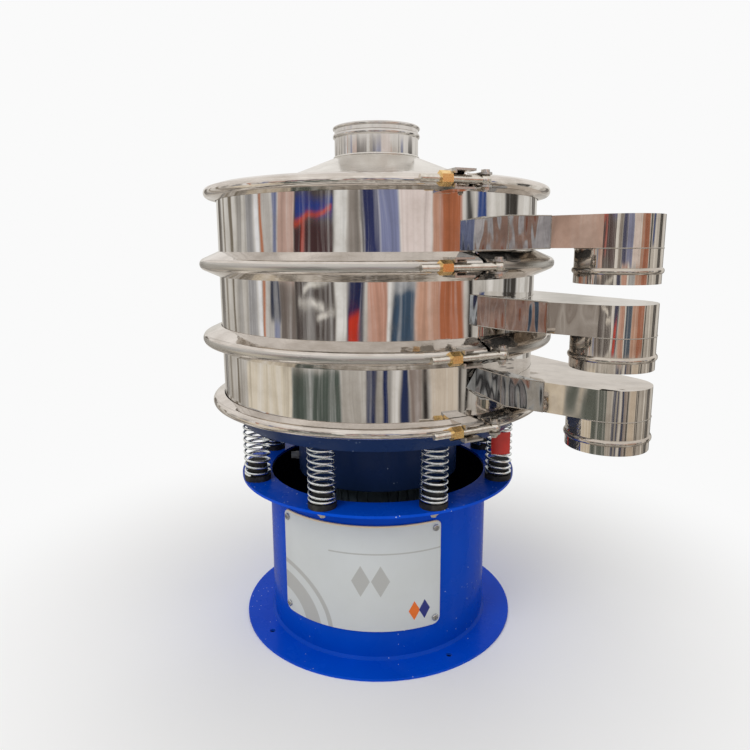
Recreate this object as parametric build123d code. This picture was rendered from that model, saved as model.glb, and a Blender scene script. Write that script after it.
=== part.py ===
"""Round three-deck vibrating screen: pressed steel frames held together by clamp bands, side
outlets with spouts, a dark blue motor bowl on eight springs, and a blue drum base.

Millimetres, +Z up. The origin is the centre of the base's underside. The front is -Y, and an
angle round the machine is counted from the front towards +X.
"""
from build123d import *
import os
from math import atan2, asin, cos, degrees, hypot, radians, sin, tan

os.makedirs("parts", exist_ok=True)

# Sheets and clearances
sheet = 2.0                 # stainless sheet of frames, cover, bands and outlets
base_sheet = 4.0            # painted steel of the base and the motor bowl
fit_gap = 0.3               # between pieces that sit in or on each other
pin_gap = 0.05              # running clearance of the latch eyes on their pins

# Frames, rings and decks
frame_r = 300.0
deck_pitch = 135.0
large_ring_half = 23.0      # half height of a ring that also holds a screen
large_ring_proud = 35.0     # how far a ring's nose stands out from the frame wall
large_nose_round = 11.5
small_ring_half = 13.5
small_ring_proud = 22.5
small_nose_round = 9.5
bowl_h = 42.7               # from the bowl's underside to the middle of the lowest ring
lowest_wall_h = 83.5
gasket_half = 2.6
screen_ring_w = 16.0
screen_mesh_t = 1.2
screen_held = 1.0           # how far the mesh runs into its edge ring

# Base
base_step = 80.0            # how far the base's drum stands inside the frame wall
flange_out = 55.0
flange_in = 30.0
flange_t = 5.0
floor_bolt_out = 25.0
floor_bolt_hole_r = 5.5
floor_bolt_count = 4
floor_bolt_first_angle = 32.0
shell_h = 297.0
top_ring_out = 54.5
top_ring_in = 3.0
top_ring_t = 5.0
weld_leg = 5.0

# Cover plate on the front of the base
plate_t = 3.0
plate_left_angle = -52.3
plate_right_angle = 31.0
plate_low_z = 62.0
plate_high_z = 265.0
plate_corner_r = 12.0
screw_head_r = 6.3
screw_head_h = 3.4
screw_inset_angle = 3.4
screw_inset_z = 13.5
screw_head_round = 2.0
screw_shank_r = 3.0
screw_recess_r = 3.8
screw_slot_w = 1.4
screw_slot_depth = 1.4

# Springs and their pads
spring_count = 8
spring_out = 30.0           # how far the spring circle stands outside the base's drum
spring_first_angle = 22.5
spring_r = 25.0
spring_wire_r = 2.25
spring_h = 100.0
spring_turns = 7.0
pad_t = 10.0
plug_r = 18.5
plug_h = 26.0
spring_bolt_r = 5.0
spring_bolt_end = 17.0
spring_bolt_tail = 5.0
washer_r = 10.5
washer_t = 2.0
nut_across_flats = 17.0
nut_h = 8.0
tag_spring = 1
tag_w = 38.0
tag_h = 43.0
tag_t = 0.6
tag_low = 44.0

# Motor bowl, drum and motor
bowl_seat_out = 22.0
bowl_seat_z_gap = 0.3
drum_in = 59.0
drum_h = 113.0
gland_r = 8.0
gland_hexagon_length = 7.0
gland_dome_r = 6.6
gland_dome_length = 9.0
gland_stem_r = 4.8
gland_bore_r = 3.2
gland_below_bowl = 89.3
gland_angle = -84.0
motor_r = 82.0
motor_h = 205.0
motor_flange_r = 112.0
motor_flange_t = 14.0
motor_drop = 62.0
motor_cap_r = 92.0
motor_cap_h = 58.0
motor_upper_cap_h = 50.0
motor_rib_count = 24
motor_rib_h = 6.0
motor_rib_t = 3.0
motor_way = 6.0             # free way round the motor's ribs inside its shelf
shelf_t = 8.0

# Cover, inlet and discharge dome
cover_rim_w = 72.0
cover_slope = 0.4
cover_rim_rise = 8.0
inlet_r = 79.0
inlet_h = 56.0
inlet_bead_below_top = 17.0
bead_proud = 3.0
bead_half = 5.0
lip_r = 3.0
dome_rise = 46.0
dome_low = 12.0

# Outlets
outlet_h = 50.0
outlet_above_ring = (2.0, 3.5, 3.5)     # from the lowest deck up
spout_r = 66.0
spout_out = 152.0           # how far the spouts' axis stands outside the frame wall
spout_angle = 57.0
spout_length = 54.5
spout_bead_up = 20.0
near_wall_turn = 50.0
rear_wall_angle = 106.0

# Hoods: the flares that lead from the frames into the outlets' near walls, from the lowest deck up
hood_reach = 66.0           # how far a hood covers its outlet's near wall
hood_proud = 9.0
hood_left_angles = (28.5, 29.0, 25.0)
hood_bend_angles = (30.5, 30.5, 28.8)
hood_rise_low = (((0.0, 46.9), (0.49, 13.5), (1.0, 0.0)),    # share of its length, rise
                 ((0.0, 18.0), (0.5, 6.5), (1.0, 0.0)),
                 ((0.0, -2.5), (0.5, -2.5), (1.0, 0.0)))
hood_rise_high = (((0.12, 29.1), (0.5, 12.4), (1.0, 0.0)),
                  ((0.0, 14.0), (0.5, 6.5), (1.0, 0.0)),
                  ((0.0, -8.5), (0.5, 0.0), (1.0, 0.0)))

# Clamp latches, one on each ring
band_gap_w = 8.0
band_end_margin = 2.0
latch_pin_angles = (34.0, 34.0, 31.8, 28.5)     # from the lowest ring up
latch_nut_angles = (21.2, 19.4, 16.5, 17.0)
latch_off_nose = 12.0
rod_r = 6.0
rod_tail = 31.0
rod_chamfer = 1.0
eye_r = 9.5
eye_h = 14.0
latch_pin_r = 4.0
latch_pin_head_r = 6.5
latch_pin_head_h = 4.0
latch_pin_tail = 2.5
brass_across_flats = 19.5
brass_h = 18.0
brass_corner_r = 14.0
nut_to_web = 1.6
bracket_t = 3.0
yoke_opening = 23.0
yoke_length = 36.0
yoke_reach = 11.0
yoke_root = 30.5
rod_slot_gap = 1.0
lug_gap = 0.5
lug_w = 20.0

# Places that follow from the sizes above
large_ring_nose_r = frame_r + large_ring_proud
small_ring_nose_r = frame_r + small_ring_proud
screen_ring_inner_r = frame_r - screen_ring_w
shell_r = frame_r - base_step
flange_r = shell_r + flange_out
flange_inner_r = shell_r - flange_in
floor_bolt_circle_r = shell_r + floor_bolt_out
top_ring_r = shell_r + top_ring_out
top_ring_inner_r = shell_r - top_ring_in
spring_circle_r = shell_r + spring_out
bowl_seat_outer_r = spring_circle_r + bowl_seat_out
drum_r = shell_r - drum_in
cover_flat_r = frame_r - cover_rim_w
spout_reach = frame_r + spout_out
top_ring_z = flange_t + shell_h
seat_z = top_ring_z + top_ring_t
spring_low_z = seat_z + pad_t
bowl_z = spring_low_z + spring_h + bowl_seat_z_gap
gland_z = bowl_z - gland_below_bowl
motor_top_z = bowl_z - motor_drop
ring_z = [bowl_z + bowl_h]
ring_z.append(ring_z[0] + small_ring_half + lowest_wall_h + large_ring_half)
ring_z.append(ring_z[1] + deck_pitch)
top_wall_h = deck_pitch - 2 * large_ring_half
ring_z.append(ring_z[2] + large_ring_half + top_wall_h + small_ring_half)
ring_is_large = (False, True, True, False)
cover_z = ring_z[3] + cover_rim_rise
inlet_low_z = cover_z + (cover_flat_r - inlet_r) * cover_slope


def point(r, angle, z=0.0):
    """A point at radius r, at an angle counted from the front towards +X."""
    return Vector(r * sin(radians(angle)), -r * cos(radians(angle)), z)


def turn(angle):
    """The turn that carries a shape made at the front round to an angle."""
    return Rot(0, 0, angle)


def tube(outer, inner, low, high):
    """An upright pipe."""
    height = high - low
    return Pos(0, 0, low) * extrude(Circle(outer) - Circle(inner), height)


def disc(r, low, high):
    """An upright round bar or plate."""
    return Pos(0, 0, low) * extrude(Circle(r), high - low)


def spun(points):
    """A solid of revolution about Z from (radius, z) corners."""
    face = make_face(Polyline([(r, 0, z) for r, z in points], close=True).edges())
    return revolve(face, Axis.Z, 360)


def bead(r, z):
    """The rounded ridge rolled round the outside of a pipe, to hold a sleeve."""
    inner = r - sheet / 2
    edges = [
        Line((inner, 0, z - bead_half), (r, 0, z - bead_half)),
        ThreePointArc((r, 0, z - bead_half), (r + bead_proud, 0, z), (r, 0, z + bead_half)),
        Line((r, 0, z + bead_half), (inner, 0, z + bead_half)),
        Line((inner, 0, z + bead_half), (inner, 0, z - bead_half)),
    ]
    return revolve(make_face(edges), Axis.Z, 360)


def ring_sizes(large):
    """Half height, nose radius from the axis and nose rounding of a clamp ring."""
    if large:
        return large_ring_half, large_ring_nose_r, large_nose_round
    return small_ring_half, small_ring_nose_r, small_nose_round


def flank(large, inward):
    """Touching points of a ring's flank, moved inward by so much: its foot and its nose end."""
    half, nose_r, rounding = ring_sizes(large)
    nose_centre = nose_r - rounding
    run = nose_centre - frame_r
    slope = atan2(half, run) - asin(rounding / hypot(run, half))
    normal_r = sin(slope)
    normal_z = cos(slope)
    foot = (frame_r - inward * normal_r, half - inward * normal_z)
    nose = (nose_centre + (rounding - inward) * normal_r, (rounding - inward) * normal_z)
    return foot, nose, nose_centre, slope


def band_face(large, inward, thickness):
    """Section of a clamp band: two straight flanks joined by a rounded nose."""
    outer_foot, outer_nose, nose_centre, slope = flank(large, inward)
    rounding = ring_sizes(large)[2]
    inner_foot, inner_nose = flank(large, inward + thickness)[:2]
    cut = bracket_t / 2
    outer_foot = (outer_foot[0] + cut, outer_foot[1] - cut * tan(slope))
    inner_foot = (inner_foot[0] + cut, inner_foot[1] - cut * tan(slope))
    outer_tip = nose_centre + rounding - inward
    inner_tip = outer_tip - thickness
    edges = [
        Line((outer_foot[0], 0, -outer_foot[1]), (outer_nose[0], 0, -outer_nose[1])),
        ThreePointArc((outer_nose[0], 0, -outer_nose[1]), (outer_tip, 0, 0),
                      (outer_nose[0], 0, outer_nose[1])),
        Line((outer_nose[0], 0, outer_nose[1]), (outer_foot[0], 0, outer_foot[1])),
        Line((outer_foot[0], 0, outer_foot[1]), (inner_foot[0], 0, inner_foot[1])),
        Line((inner_foot[0], 0, inner_foot[1]), (inner_nose[0], 0, inner_nose[1])),
        ThreePointArc((inner_nose[0], 0, inner_nose[1]), (inner_tip, 0, 0),
                      (inner_nose[0], 0, -inner_nose[1])),
        Line((inner_nose[0], 0, -inner_nose[1]), (inner_foot[0], 0, -inner_foot[1])),
        Line((inner_foot[0], 0, -inner_foot[1]), (outer_foot[0], 0, -outer_foot[1])),
    ]
    return make_face(edges)


def flange_tip(large):
    """Where a frame's flange ends: its radius, and its height over the ring's middle."""
    foot, nose, nose_centre, slope = flank(large, sheet + fit_gap)
    under = gasket_half + fit_gap / 3
    outer = under + sheet / cos(slope)
    radius = foot[0] + (foot[1] - outer) / tan(slope)
    return min(radius, nose[0]), outer, under


def flange_profile(large, z, side):
    """Corners of a frame's flange from its tip to the wall: outer line, then inner line.

    side is 1 for the flange above a ring's middle and -1 for the one below it."""
    tip_r, outer, under = flange_tip(large)
    slope = flank(large, 0)[3]
    rise = sheet / cos(slope)
    foot_outer = outer + (tip_r - frame_r) * tan(slope)
    inner_r = frame_r - sheet
    foot_inner = under + (tip_r - inner_r) * tan(slope)
    outer_line = [(tip_r, z + side * outer), (frame_r, z + side * foot_outer)]
    inner_line = [(inner_r, z + side * (foot_inner)), (tip_r, z + side * (outer - rise))]
    return outer_line, inner_line


def frame_shell(low_ring, high_ring):
    """A deck's round wall with its two flanges, between two clamp rings."""
    low_outer, low_inner = flange_profile(ring_is_large[low_ring], ring_z[low_ring], 1)
    high_outer, high_inner = flange_profile(ring_is_large[high_ring], ring_z[high_ring], -1)
    points = low_outer + high_outer[::-1] + high_inner[::-1] + low_inner
    return spun(points)


def outlet_low_z(deck):
    """Underside of a deck's outlet duct. Deck 0 is the lowest."""
    half = ring_sizes(ring_is_large[deck])[0]
    return ring_z[deck] + half + outlet_above_ring[deck]


def spout_centre():
    return point(spout_reach, spout_angle)


def near_wall(inset):
    """Direction of an outlet's near wall, and where it touches the head, drawn in by inset."""
    way = Vector(sin(radians(near_wall_turn)), -cos(radians(near_wall_turn)), 0)
    side = Vector(way.Y, -way.X, 0)
    return way, spout_centre() + side * (spout_r - inset)


def outlet_plan(inset, inner_reach):
    """Plan of an outlet duct, drawn in by inset, and cut off at inner_reach from the axis."""
    centre = spout_centre()
    head_r = spout_r - inset
    near_way, near_tangent = near_wall(inset)
    near_inside = near_tangent - near_way * (spout_reach - frame_r / 2)
    rear_start = point(frame_r - inset, rear_wall_angle)
    away = centre - rear_start
    swing = asin(head_r / hypot(away.X, away.Y))
    rear_way = atan2(away.Y, away.X) + swing
    rear_tangent = centre + Vector(-sin(rear_way), cos(rear_way), 0) * head_r
    corners = [near_tangent, near_inside, rear_start, rear_tangent, centre]
    walls = make_face(Polyline([(c.X, c.Y, 0) for c in corners], close=True).edges())
    head = Pos(centre.X, centre.Y) * Circle(head_r)
    return Sketch() + [walls, head] - Circle(inner_reach)


def hood_corner():
    """Where a hood meets the near wall of its outlet, out from the frame."""
    way, touch = near_wall(0)
    along = touch.X * way.X + touch.Y * way.Y
    off_axis = hypot(touch.X - along * way.X, touch.Y - along * way.Y)
    at_frame = (frame_r ** 2 - off_axis ** 2) ** 0.5
    return touch + way * (at_frame + hood_reach - along)


def hood_block(deck, inset, inner_reach):
    """A hood's filled form, drawn in by inset, and cut off at inner_reach from the axis."""
    corner = hood_corner()
    way = near_wall(0)[0]
    left = point(frame_r, hood_left_angles[deck])
    bend = point(frame_r + hood_proud, hood_bend_angles[deck])
    start = point(frame_r / 2, hood_left_angles[deck])
    end = corner - way * frame_r / 2
    plan = make_face(Polyline([(c.X, c.Y, 0) for c in (start, left, bend, corner, end)],
                              close=True).edges())
    plan = offset(plan, amount=-inset - fit_gap / 3, kind=Kind.INTERSECTION)
    low = outlet_low_z(deck) + inset
    high = outlet_low_z(deck) + outlet_h - inset
    length = corner.X - left.X
    outline = [(left.X + share * length, low + rise) for share, rise in hood_rise_low[deck]]
    outline += [(left.X + share * length, high + rise)
                for share, rise in reversed(hood_rise_high[deck])]
    side = make_face(Polyline([(x, 0, z) for x, z in outline], close=True).edges())
    across = extrude(side, amount=2 * frame_r, dir=(0, -1, 0))
    upright = Pos(0, 0, low - outlet_h) * extrude(plan - Circle(inner_reach), 3 * outlet_h)
    return upright & across


def outlet_hood(deck):
    """The welded flare in front of an outlet's near wall, open towards the frame."""
    inside = hood_block(deck, sheet, frame_r / 2)
    return hood_block(deck, 0, frame_r + fit_gap / 3) - inside


def outlet_duct(deck):
    """Flat duct of welded sheet from the frame to the round head over the spout."""
    low = outlet_low_z(deck)
    outside = extrude(outlet_plan(0, frame_r + fit_gap / 3), outlet_h)
    hollow_plan = outlet_plan(sheet, frame_r - 2 * sheet)
    inside = Pos(0, 0, sheet) * extrude(hollow_plan, outlet_h - 2 * sheet)
    centre = spout_centre()
    drop = Pos(centre.X, centre.Y) * extrude(Circle(spout_r - sheet), outlet_h / 2)
    return Pos(0, 0, low) * (outside - inside - drop)


def outlet_window(deck):
    """The space that an outlet takes out of its frame's wall."""
    plan = outlet_plan(sheet, frame_r - 4 * sheet)
    return Pos(0, 0, outlet_low_z(deck) + sheet) * extrude(plan, outlet_h - 2 * sheet)


def outlet_spout(deck):
    """The pipe that hangs from an outlet's head, with a rolled bead near its mouth."""
    centre = spout_centre()
    top = outlet_low_z(deck)
    pipe = tube(spout_r, spout_r - sheet, top - spout_length, top)
    ridge = bead(spout_r, top - spout_length + spout_bead_up)
    return Pos(centre.X, centre.Y) * (pipe + ridge)


def deck_frame(deck):
    return frame_shell(deck, deck + 1) - outlet_window(deck)


def clamp_ring_space(ring, inward):
    """The filled outline of a clamp ring, drawn in by inward, to trim what is welded on it."""
    foot, nose, nose_centre, slope = flank(ring_is_large[ring], inward)
    tip = nose_centre + ring_sizes(ring_is_large[ring])[2] - inward
    z = ring_z[ring]
    edges = [
        Line((frame_r / 2, 0, z - foot[1]), (foot[0], 0, z - foot[1])),
        Line((foot[0], 0, z - foot[1]), (nose[0], 0, z - nose[1])),
        ThreePointArc((nose[0], 0, z - nose[1]), (tip, 0, z), (nose[0], 0, z + nose[1])),
        Line((nose[0], 0, z + nose[1]), (foot[0], 0, z + foot[1])),
        Line((foot[0], 0, z + foot[1]), (frame_r / 2, 0, z + foot[1])),
        Line((frame_r / 2, 0, z + foot[1]), (frame_r / 2, 0, z - foot[1])),
    ]
    return revolve(make_face(edges), Axis.Z, 360)


def latch_frame(ring):
    """Place of a latch: origin on the hinge pin, +X along the rod to the nut, +Y outwards."""
    reach = ring_sizes(ring_is_large[ring])[1] + latch_off_nose
    pin = point(reach, latch_pin_angles[ring], ring_z[ring])
    nut = point(reach, latch_nut_angles[ring], ring_z[ring])
    along = (nut - pin).normalized()
    return Plane(origin=pin, x_dir=along, z_dir=(0, 0, 1)), (nut - pin).length


def latch_block(plane, x0, x1, y0, y1, z0, z1):
    """A square-edged block in a latch's own place; its Y counts outwards from the machine."""
    size = Box(x1 - x0, y1 - y0, z1 - z0)
    return plane * Pos((x0 + x1) / 2, (y0 + y1) / 2, (z0 + z1) / 2) * size


def latch_post(plane, x, y, r, z0, z1):
    return plane * Pos(x, y, z0) * extrude(Circle(r), z1 - z0)


def clamp_band(ring):
    """A clamp band, open at its latch, with the yoke and the pin lugs welded to its ends."""
    large = ring_is_large[ring]
    plane, span = latch_frame(ring)
    band = Pos(0, 0, ring_z[ring]) * revolve(band_face(large, 0, sheet), Axis.Z, 360)
    gap_start = lug_w / 2 + band_end_margin
    gap = latch_block(plane, gap_start, gap_start + band_gap_w, -frame_r / 2, 0,
                      -large_ring_half, large_ring_half)
    web_far = span - brass_h / 2 - nut_to_web
    web_near = web_far - bracket_t
    half_open = yoke_opening / 2
    half_all = half_open + bracket_t
    web = latch_block(plane, web_near, web_far, -yoke_root, yoke_reach, -half_all, half_all)
    slot_w = rod_r + rod_slot_gap
    slot = latch_block(plane, web_near - bracket_t, web_far + bracket_t,
                       -slot_w, yoke_reach + bracket_t, -slot_w, slot_w)
    ear_end = web_far - yoke_length
    ears = []
    for side in (-1, 1):
        low = half_open if side > 0 else -half_all
        ear = latch_block(plane, ear_end, web_far, -yoke_root, yoke_reach, low, low + bracket_t)
        ears.append(fillet(ear.edges().filter_by(Axis.Z), bracket_t))
    lugs = []
    lug_low = eye_h / 2 + lug_gap
    for side in (-1, 1):
        low = lug_low if side > 0 else -lug_low - bracket_t
        plate = latch_block(plane, -lug_w / 2, lug_w / 2, -yoke_root, 0, low, low + bracket_t)
        lugs.append(plate + latch_post(plane, 0, 0, lug_w / 2, low, low + bracket_t))
    brackets = (web - slot + ears + lugs) - clamp_ring_space(ring, sheet / 2)
    hole = latch_post(plane, 0, 0, latch_pin_r, -yoke_root, yoke_root)
    band = band - gap
    return band + (brackets - hole)


def latch_pin(ring):
    """The vertical bolt that the latch rod swings on, with its head above and nut below."""
    plane = latch_frame(ring)[0]
    half = eye_h / 2 + lug_gap + bracket_t
    tail = half + latch_pin_head_h + latch_pin_tail
    shank = latch_post(plane, 0, 0, latch_pin_r, -tail, half)
    head = latch_post(plane, 0, 0, latch_pin_head_r, half, half + latch_pin_head_h)
    nut = plane * Pos(0, 0, -half - latch_pin_head_h) * extrude(
        RegularPolygon(latch_pin_head_r, 6), latch_pin_head_h)
    return shank + head + nut


def swing_bolt(ring):
    """The latch rod with its eye."""
    plane, span = latch_frame(ring)
    length = span + brass_h / 2 + rod_tail
    rod = plane * Rot(0, 90, 0) * extrude(Circle(rod_r), length)
    rod = chamfer(rod.edges().filter_by(GeomType.CIRCLE).sort_by(
        lambda e: (e.center() - plane.origin).length)[-1], rod_chamfer)
    eye = plane * (Sphere(eye_r) & Box(2 * eye_r, 2 * eye_r, eye_h))
    hole = latch_post(plane, 0, 0, latch_pin_r + pin_gap, -eye_h, eye_h)
    return rod + eye - hole


def latch_nut(ring):
    """The brass nut on the latch rod."""
    plane, span = latch_frame(ring)
    blank = extrude(RegularPolygon(brass_across_flats / 2, 6, major_radius=False), brass_h)
    blank = blank & Pos(0, 0, brass_h / 2) * Sphere(brass_corner_r)
    nut = blank - Cylinder(rod_r, 4 * brass_h)
    return plane * Pos(span - brass_h / 2, 0, 0) * Rot(0, 90, 0) * nut


def sieve_screen(ring):
    """A screen: a clamped edge ring with the mesh stretched across it."""
    z = ring_z[ring]
    outer = flange_tip(True)[0]
    return tube(outer, screen_ring_inner_r, z - gasket_half, z + gasket_half) + disc(
        screen_ring_inner_r + screen_held, z - screen_mesh_t / 2, z + screen_mesh_t / 2)


def gasket(ring):
    """The rubber ring between the flanges of a ring that holds no screen."""
    z = ring_z[ring]
    outer = flange_tip(False)[0]
    return tube(outer, frame_r - sheet, z - gasket_half, z + gasket_half)


def cover():
    """The dished cover: flange, flat rim and a cone up to the inlet."""
    tip_r, outer, under = flange_tip(False)
    z = ring_z[3]
    top = [(tip_r, z + under), (tip_r, z + outer), (frame_r, cover_z), (cover_flat_r, cover_z),
           (inlet_r - sheet, inlet_low_z + sheet * cover_slope)]
    under_side = [(inlet_r - sheet, inlet_low_z + sheet * cover_slope - sheet),
                  (cover_flat_r, cover_z - sheet), (frame_r - sheet, cover_z - sheet)]
    return spun(top + under_side) - disc(inlet_r + fit_gap / 3, cover_z, inlet_low_z + inlet_h)


def inlet_collar():
    """The feed inlet: a short pipe with a bead and a rolled lip."""
    low = inlet_low_z - sheet
    top = inlet_low_z + inlet_h
    pipe = tube(inlet_r, inlet_r - sheet, low, top - lip_r)
    ridge = bead(inlet_r, top - inlet_bead_below_top)
    lip = Pos(0, 0, top - lip_r) * Torus(inlet_r, lip_r)
    return pipe + ridge + (lip - disc(inlet_r - sheet, low, top + lip_r))


def discharge_dome():
    """The shallow cone that sends the finest product out of the lowest outlet."""
    z = ring_z[0] + dome_low
    edge_r = frame_r - sheet - fit_gap
    return spun([(edge_r, z), (edge_r, z + sheet), (0, z + sheet + dome_rise),
                 (0, z + dome_rise)])


def bowl():
    """The dark blue bowl under the lowest frame: flange, steep skirt and a flat floor."""
    tip_r, outer, under = flange_tip(False)
    z = ring_z[0]
    t = base_sheet
    foot = outer + (tip_r - frame_r) * tan(flank(False, 0)[3])
    points = [(tip_r, z - under), (tip_r, z - outer), (frame_r, z - foot),
              (bowl_seat_outer_r, bowl_z), (drum_r - t, bowl_z), (drum_r - t, bowl_z + t),
              (bowl_seat_outer_r - t / 2, bowl_z + t), (frame_r - t, z - foot),
              (frame_r - t, z - under)]
    return spun(points)


def motor_drum():
    """The round housing under the bowl, which hangs in the mouth of the base."""
    low = bowl_z - drum_h
    wall = tube(drum_r, drum_r - base_sheet, low, bowl_z)
    shelf_z = motor_top_z - motor_flange_t
    shelf_inner_r = motor_r + motor_rib_h + motor_way
    shelf = tube(drum_r - base_sheet / 2, shelf_inner_r, shelf_z - shelf_t, shelf_z)
    hole = turn(gland_angle) * Pos(0, -drum_r, gland_z) * Rot(90, 0, 0) * Cylinder(
        gland_stem_r + fit_gap, 4 * base_sheet)
    return wall + shelf - hole


def cable_gland():
    """The screwed gland where the motor's cable enters the drum."""
    hexagon = RegularPolygon(gland_r, 6)
    body = extrude(hexagon, gland_hexagon_length)
    dome = Pos(0, 0, gland_hexagon_length) * extrude(Circle(gland_dome_r), gland_dome_length)
    stem = Pos(0, 0, -base_sheet) * extrude(Circle(gland_stem_r), base_sheet)
    bore = Cylinder(gland_bore_r, 4 * (gland_hexagon_length + gland_dome_length))
    gland = body + dome + stem - bore
    return turn(gland_angle) * Pos(0, -drum_r - fit_gap / 3, gland_z) * Rot(90, 0, 0) * gland


def vibration_motor():
    """The upright motor with its ribbed body, flange and two closed weight covers."""
    top = motor_top_z
    flange = disc(motor_flange_r, top - motor_flange_t, top)
    body = disc(motor_r, top - motor_h, top)
    ribs = []
    for index in range(motor_rib_count):
        rib = Pos(0, -motor_r, top - motor_h / 2) * Box(
            motor_rib_t, 2 * motor_rib_h, motor_h - 4 * motor_flange_t)
        ribs.append(turn(index * 360 / motor_rib_count) * rib)
    lower_cap = disc(motor_cap_r, top - motor_h - motor_cap_h, top - motor_h)
    upper_cap = disc(motor_cap_r, top, top + motor_upper_cap_h)
    return flange + body + ribs + lower_cap + upper_cap


def base_flange():
    plate = tube(flange_r, flange_inner_r, 0, flange_t)
    holes = []
    for index in range(floor_bolt_count):
        angle = floor_bolt_first_angle + index * 360 / floor_bolt_count
        spot = point(floor_bolt_circle_r, angle)
        holes.append(Pos(spot.X, spot.Y) * Cylinder(floor_bolt_hole_r, 4 * flange_t))
    return plate - holes


def base_shell():
    """The drum of the base, with the weld fillet round its foot and under its top ring."""
    drum = tube(shell_r, shell_r - base_sheet, flange_t, top_ring_z)
    inside = shell_r - base_sheet / 2
    foot_weld = spun([(inside, flange_t), (shell_r + weld_leg, flange_t),
                      (shell_r, flange_t + weld_leg), (inside, flange_t + weld_leg)])
    return drum + foot_weld


def base_top_ring():
    ring = tube(top_ring_r, top_ring_inner_r, top_ring_z, seat_z)
    holes = []
    for index in range(spring_count):
        spot = point(spring_circle_r, spring_angle(index))
        holes.append(Pos(spot.X, spot.Y, top_ring_z) * Cylinder(
            spring_bolt_r + fit_gap, 4 * top_ring_t))
    return ring - holes


def plate_sector(outer, inner, left, right, low, high, corner):
    """A piece of a pipe's wall between two angles, with rounded corners."""
    wall = tube(outer, inner, low, high)
    middle = (left + right) / 2
    half = radians(right - left) / 2
    depth = outer * 2
    reach = inner * sin(half)
    outline = Rectangle(2 * reach, high - low)
    outline = fillet(outline.vertices(), corner)
    block = extrude(Plane.XZ * outline, depth)
    block = Pos(0, 0, (low + high) / 2) * block
    return turn(middle) * (wall & block)


def front_plate():
    """The curved cover plate on the front of the base, with a hole for each screw."""
    inner = shell_r + fit_gap
    plate = plate_sector(inner + plate_t, inner, plate_left_angle, plate_right_angle,
                         plate_low_z, plate_high_z, plate_corner_r)
    holes = []
    for angle, z in screw_places():
        holes.append(turn(angle) * Pos(0, -inner, z) * Rot(90, 0, 0) * Cylinder(
            screw_shank_r + fit_gap, 4 * plate_t))
    return plate - holes


def screw_places():
    """Angle and height of each plate screw."""
    places = []
    for angle in (plate_left_angle + screw_inset_angle, plate_right_angle - screw_inset_angle):
        for z in (plate_low_z + screw_inset_z, plate_high_z - screw_inset_z):
            places.append((angle, z))
    return places


def plate_screws():
    """Pan-head screws that hold the front plate."""
    seat = shell_r + fit_gap + plate_t
    screws = []
    for angle, z in screw_places():
        head = extrude(Circle(screw_head_r), screw_head_h)
        head = fillet(head.edges().sort_by(Axis.Z)[-1], screw_head_round)
        slots = Box(2 * screw_head_r, screw_slot_w, 2 * screw_slot_depth) + Box(
            screw_slot_w, 2 * screw_head_r, 2 * screw_slot_depth)
        recess = slots & Cylinder(screw_recess_r, 4 * screw_slot_depth)
        head = head - Pos(0, 0, screw_head_h) * recess
        shank = Pos(0, 0, -plate_t) * extrude(Circle(screw_shank_r), plate_t + screw_head_h / 2)
        place = turn(angle) * Pos(0, -seat - fit_gap / 3, z) * Rot(90, 0, 0)
        screws.append(place * (head + shank))
    return Compound(screws)


def spring_angle(index):
    return spring_first_angle + index * 360 / spring_count


def spring_pads():
    """Rubber seats: a disc under each spring with a plug up inside it."""
    pads = []
    for index in range(spring_count):
        spot = point(spring_circle_r, spring_angle(index))
        pad = disc(spring_r, seat_z, spring_low_z) + disc(plug_r, spring_low_z, spring_low_z + plug_h)
        pad = pad - disc(spring_bolt_r + fit_gap, seat_z - pad_t,
                         spring_low_z + spring_bolt_end + fit_gap)
        pads.append(Pos(spot.X, spot.Y) * pad)
    return Compound(pads)


def spring_bolts():
    """Bolt, washer and nut that hold each rubber seat to the top ring."""
    bolts = []
    low = top_ring_z - washer_t - nut_h
    for index in range(spring_count):
        spot = point(spring_circle_r, spring_angle(index))
        shank = disc(spring_bolt_r, low - spring_bolt_tail, spring_low_z + spring_bolt_end)
        washer = disc(washer_r, top_ring_z - washer_t, top_ring_z)
        nut = Pos(0, 0, low) * extrude(
            RegularPolygon(nut_across_flats / 2, 6, major_radius=False), nut_h)
        bolts.append(Pos(spot.X, spot.Y) * (shank + washer + nut))
    return Compound(bolts)


def coil_spring(index):
    """A compression spring with flat closed ends."""
    spot = point(spring_circle_r, spring_angle(index))
    middle_r = spring_r - spring_wire_r
    rise = spring_h - 2 * spring_wire_r
    helix = Helix(rise / spring_turns, rise, middle_r)
    section = Plane(origin=helix @ 0, z_dir=helix % 0) * Circle(spring_wire_r)
    coil = sweep(section, path=helix, is_frenet=True)
    ends = [Pos(0, 0, z) * Torus(middle_r, spring_wire_r) for z in (0, rise)]
    coil = Pos(0, 0, spring_low_z + spring_wire_r) * (coil + ends)
    return Pos(spot.X, spot.Y) * coil


def red_tag():
    """The plain red card wrapped round the front of one spring."""
    spot = point(spring_circle_r, spring_angle(tag_spring))
    inner = spring_r + fit_gap
    low = spring_low_z + tag_low
    half = degrees(tag_w / 2 / inner)
    card = tube(inner + tag_t, inner, low, low + tag_h)
    wedge = make_face(Polyline([(0, 0, 0), tuple(point(4 * inner, -half)),
                                tuple(point(4 * inner, half)), (0, 0, 0)]).edges())
    card = card & Pos(0, 0, low - tag_h) * extrude(wedge, 3 * tag_h)
    return Pos(spot.X, spot.Y) * card


def write(name, shape):
    export_step(shape, f"parts/{name}.step")


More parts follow.
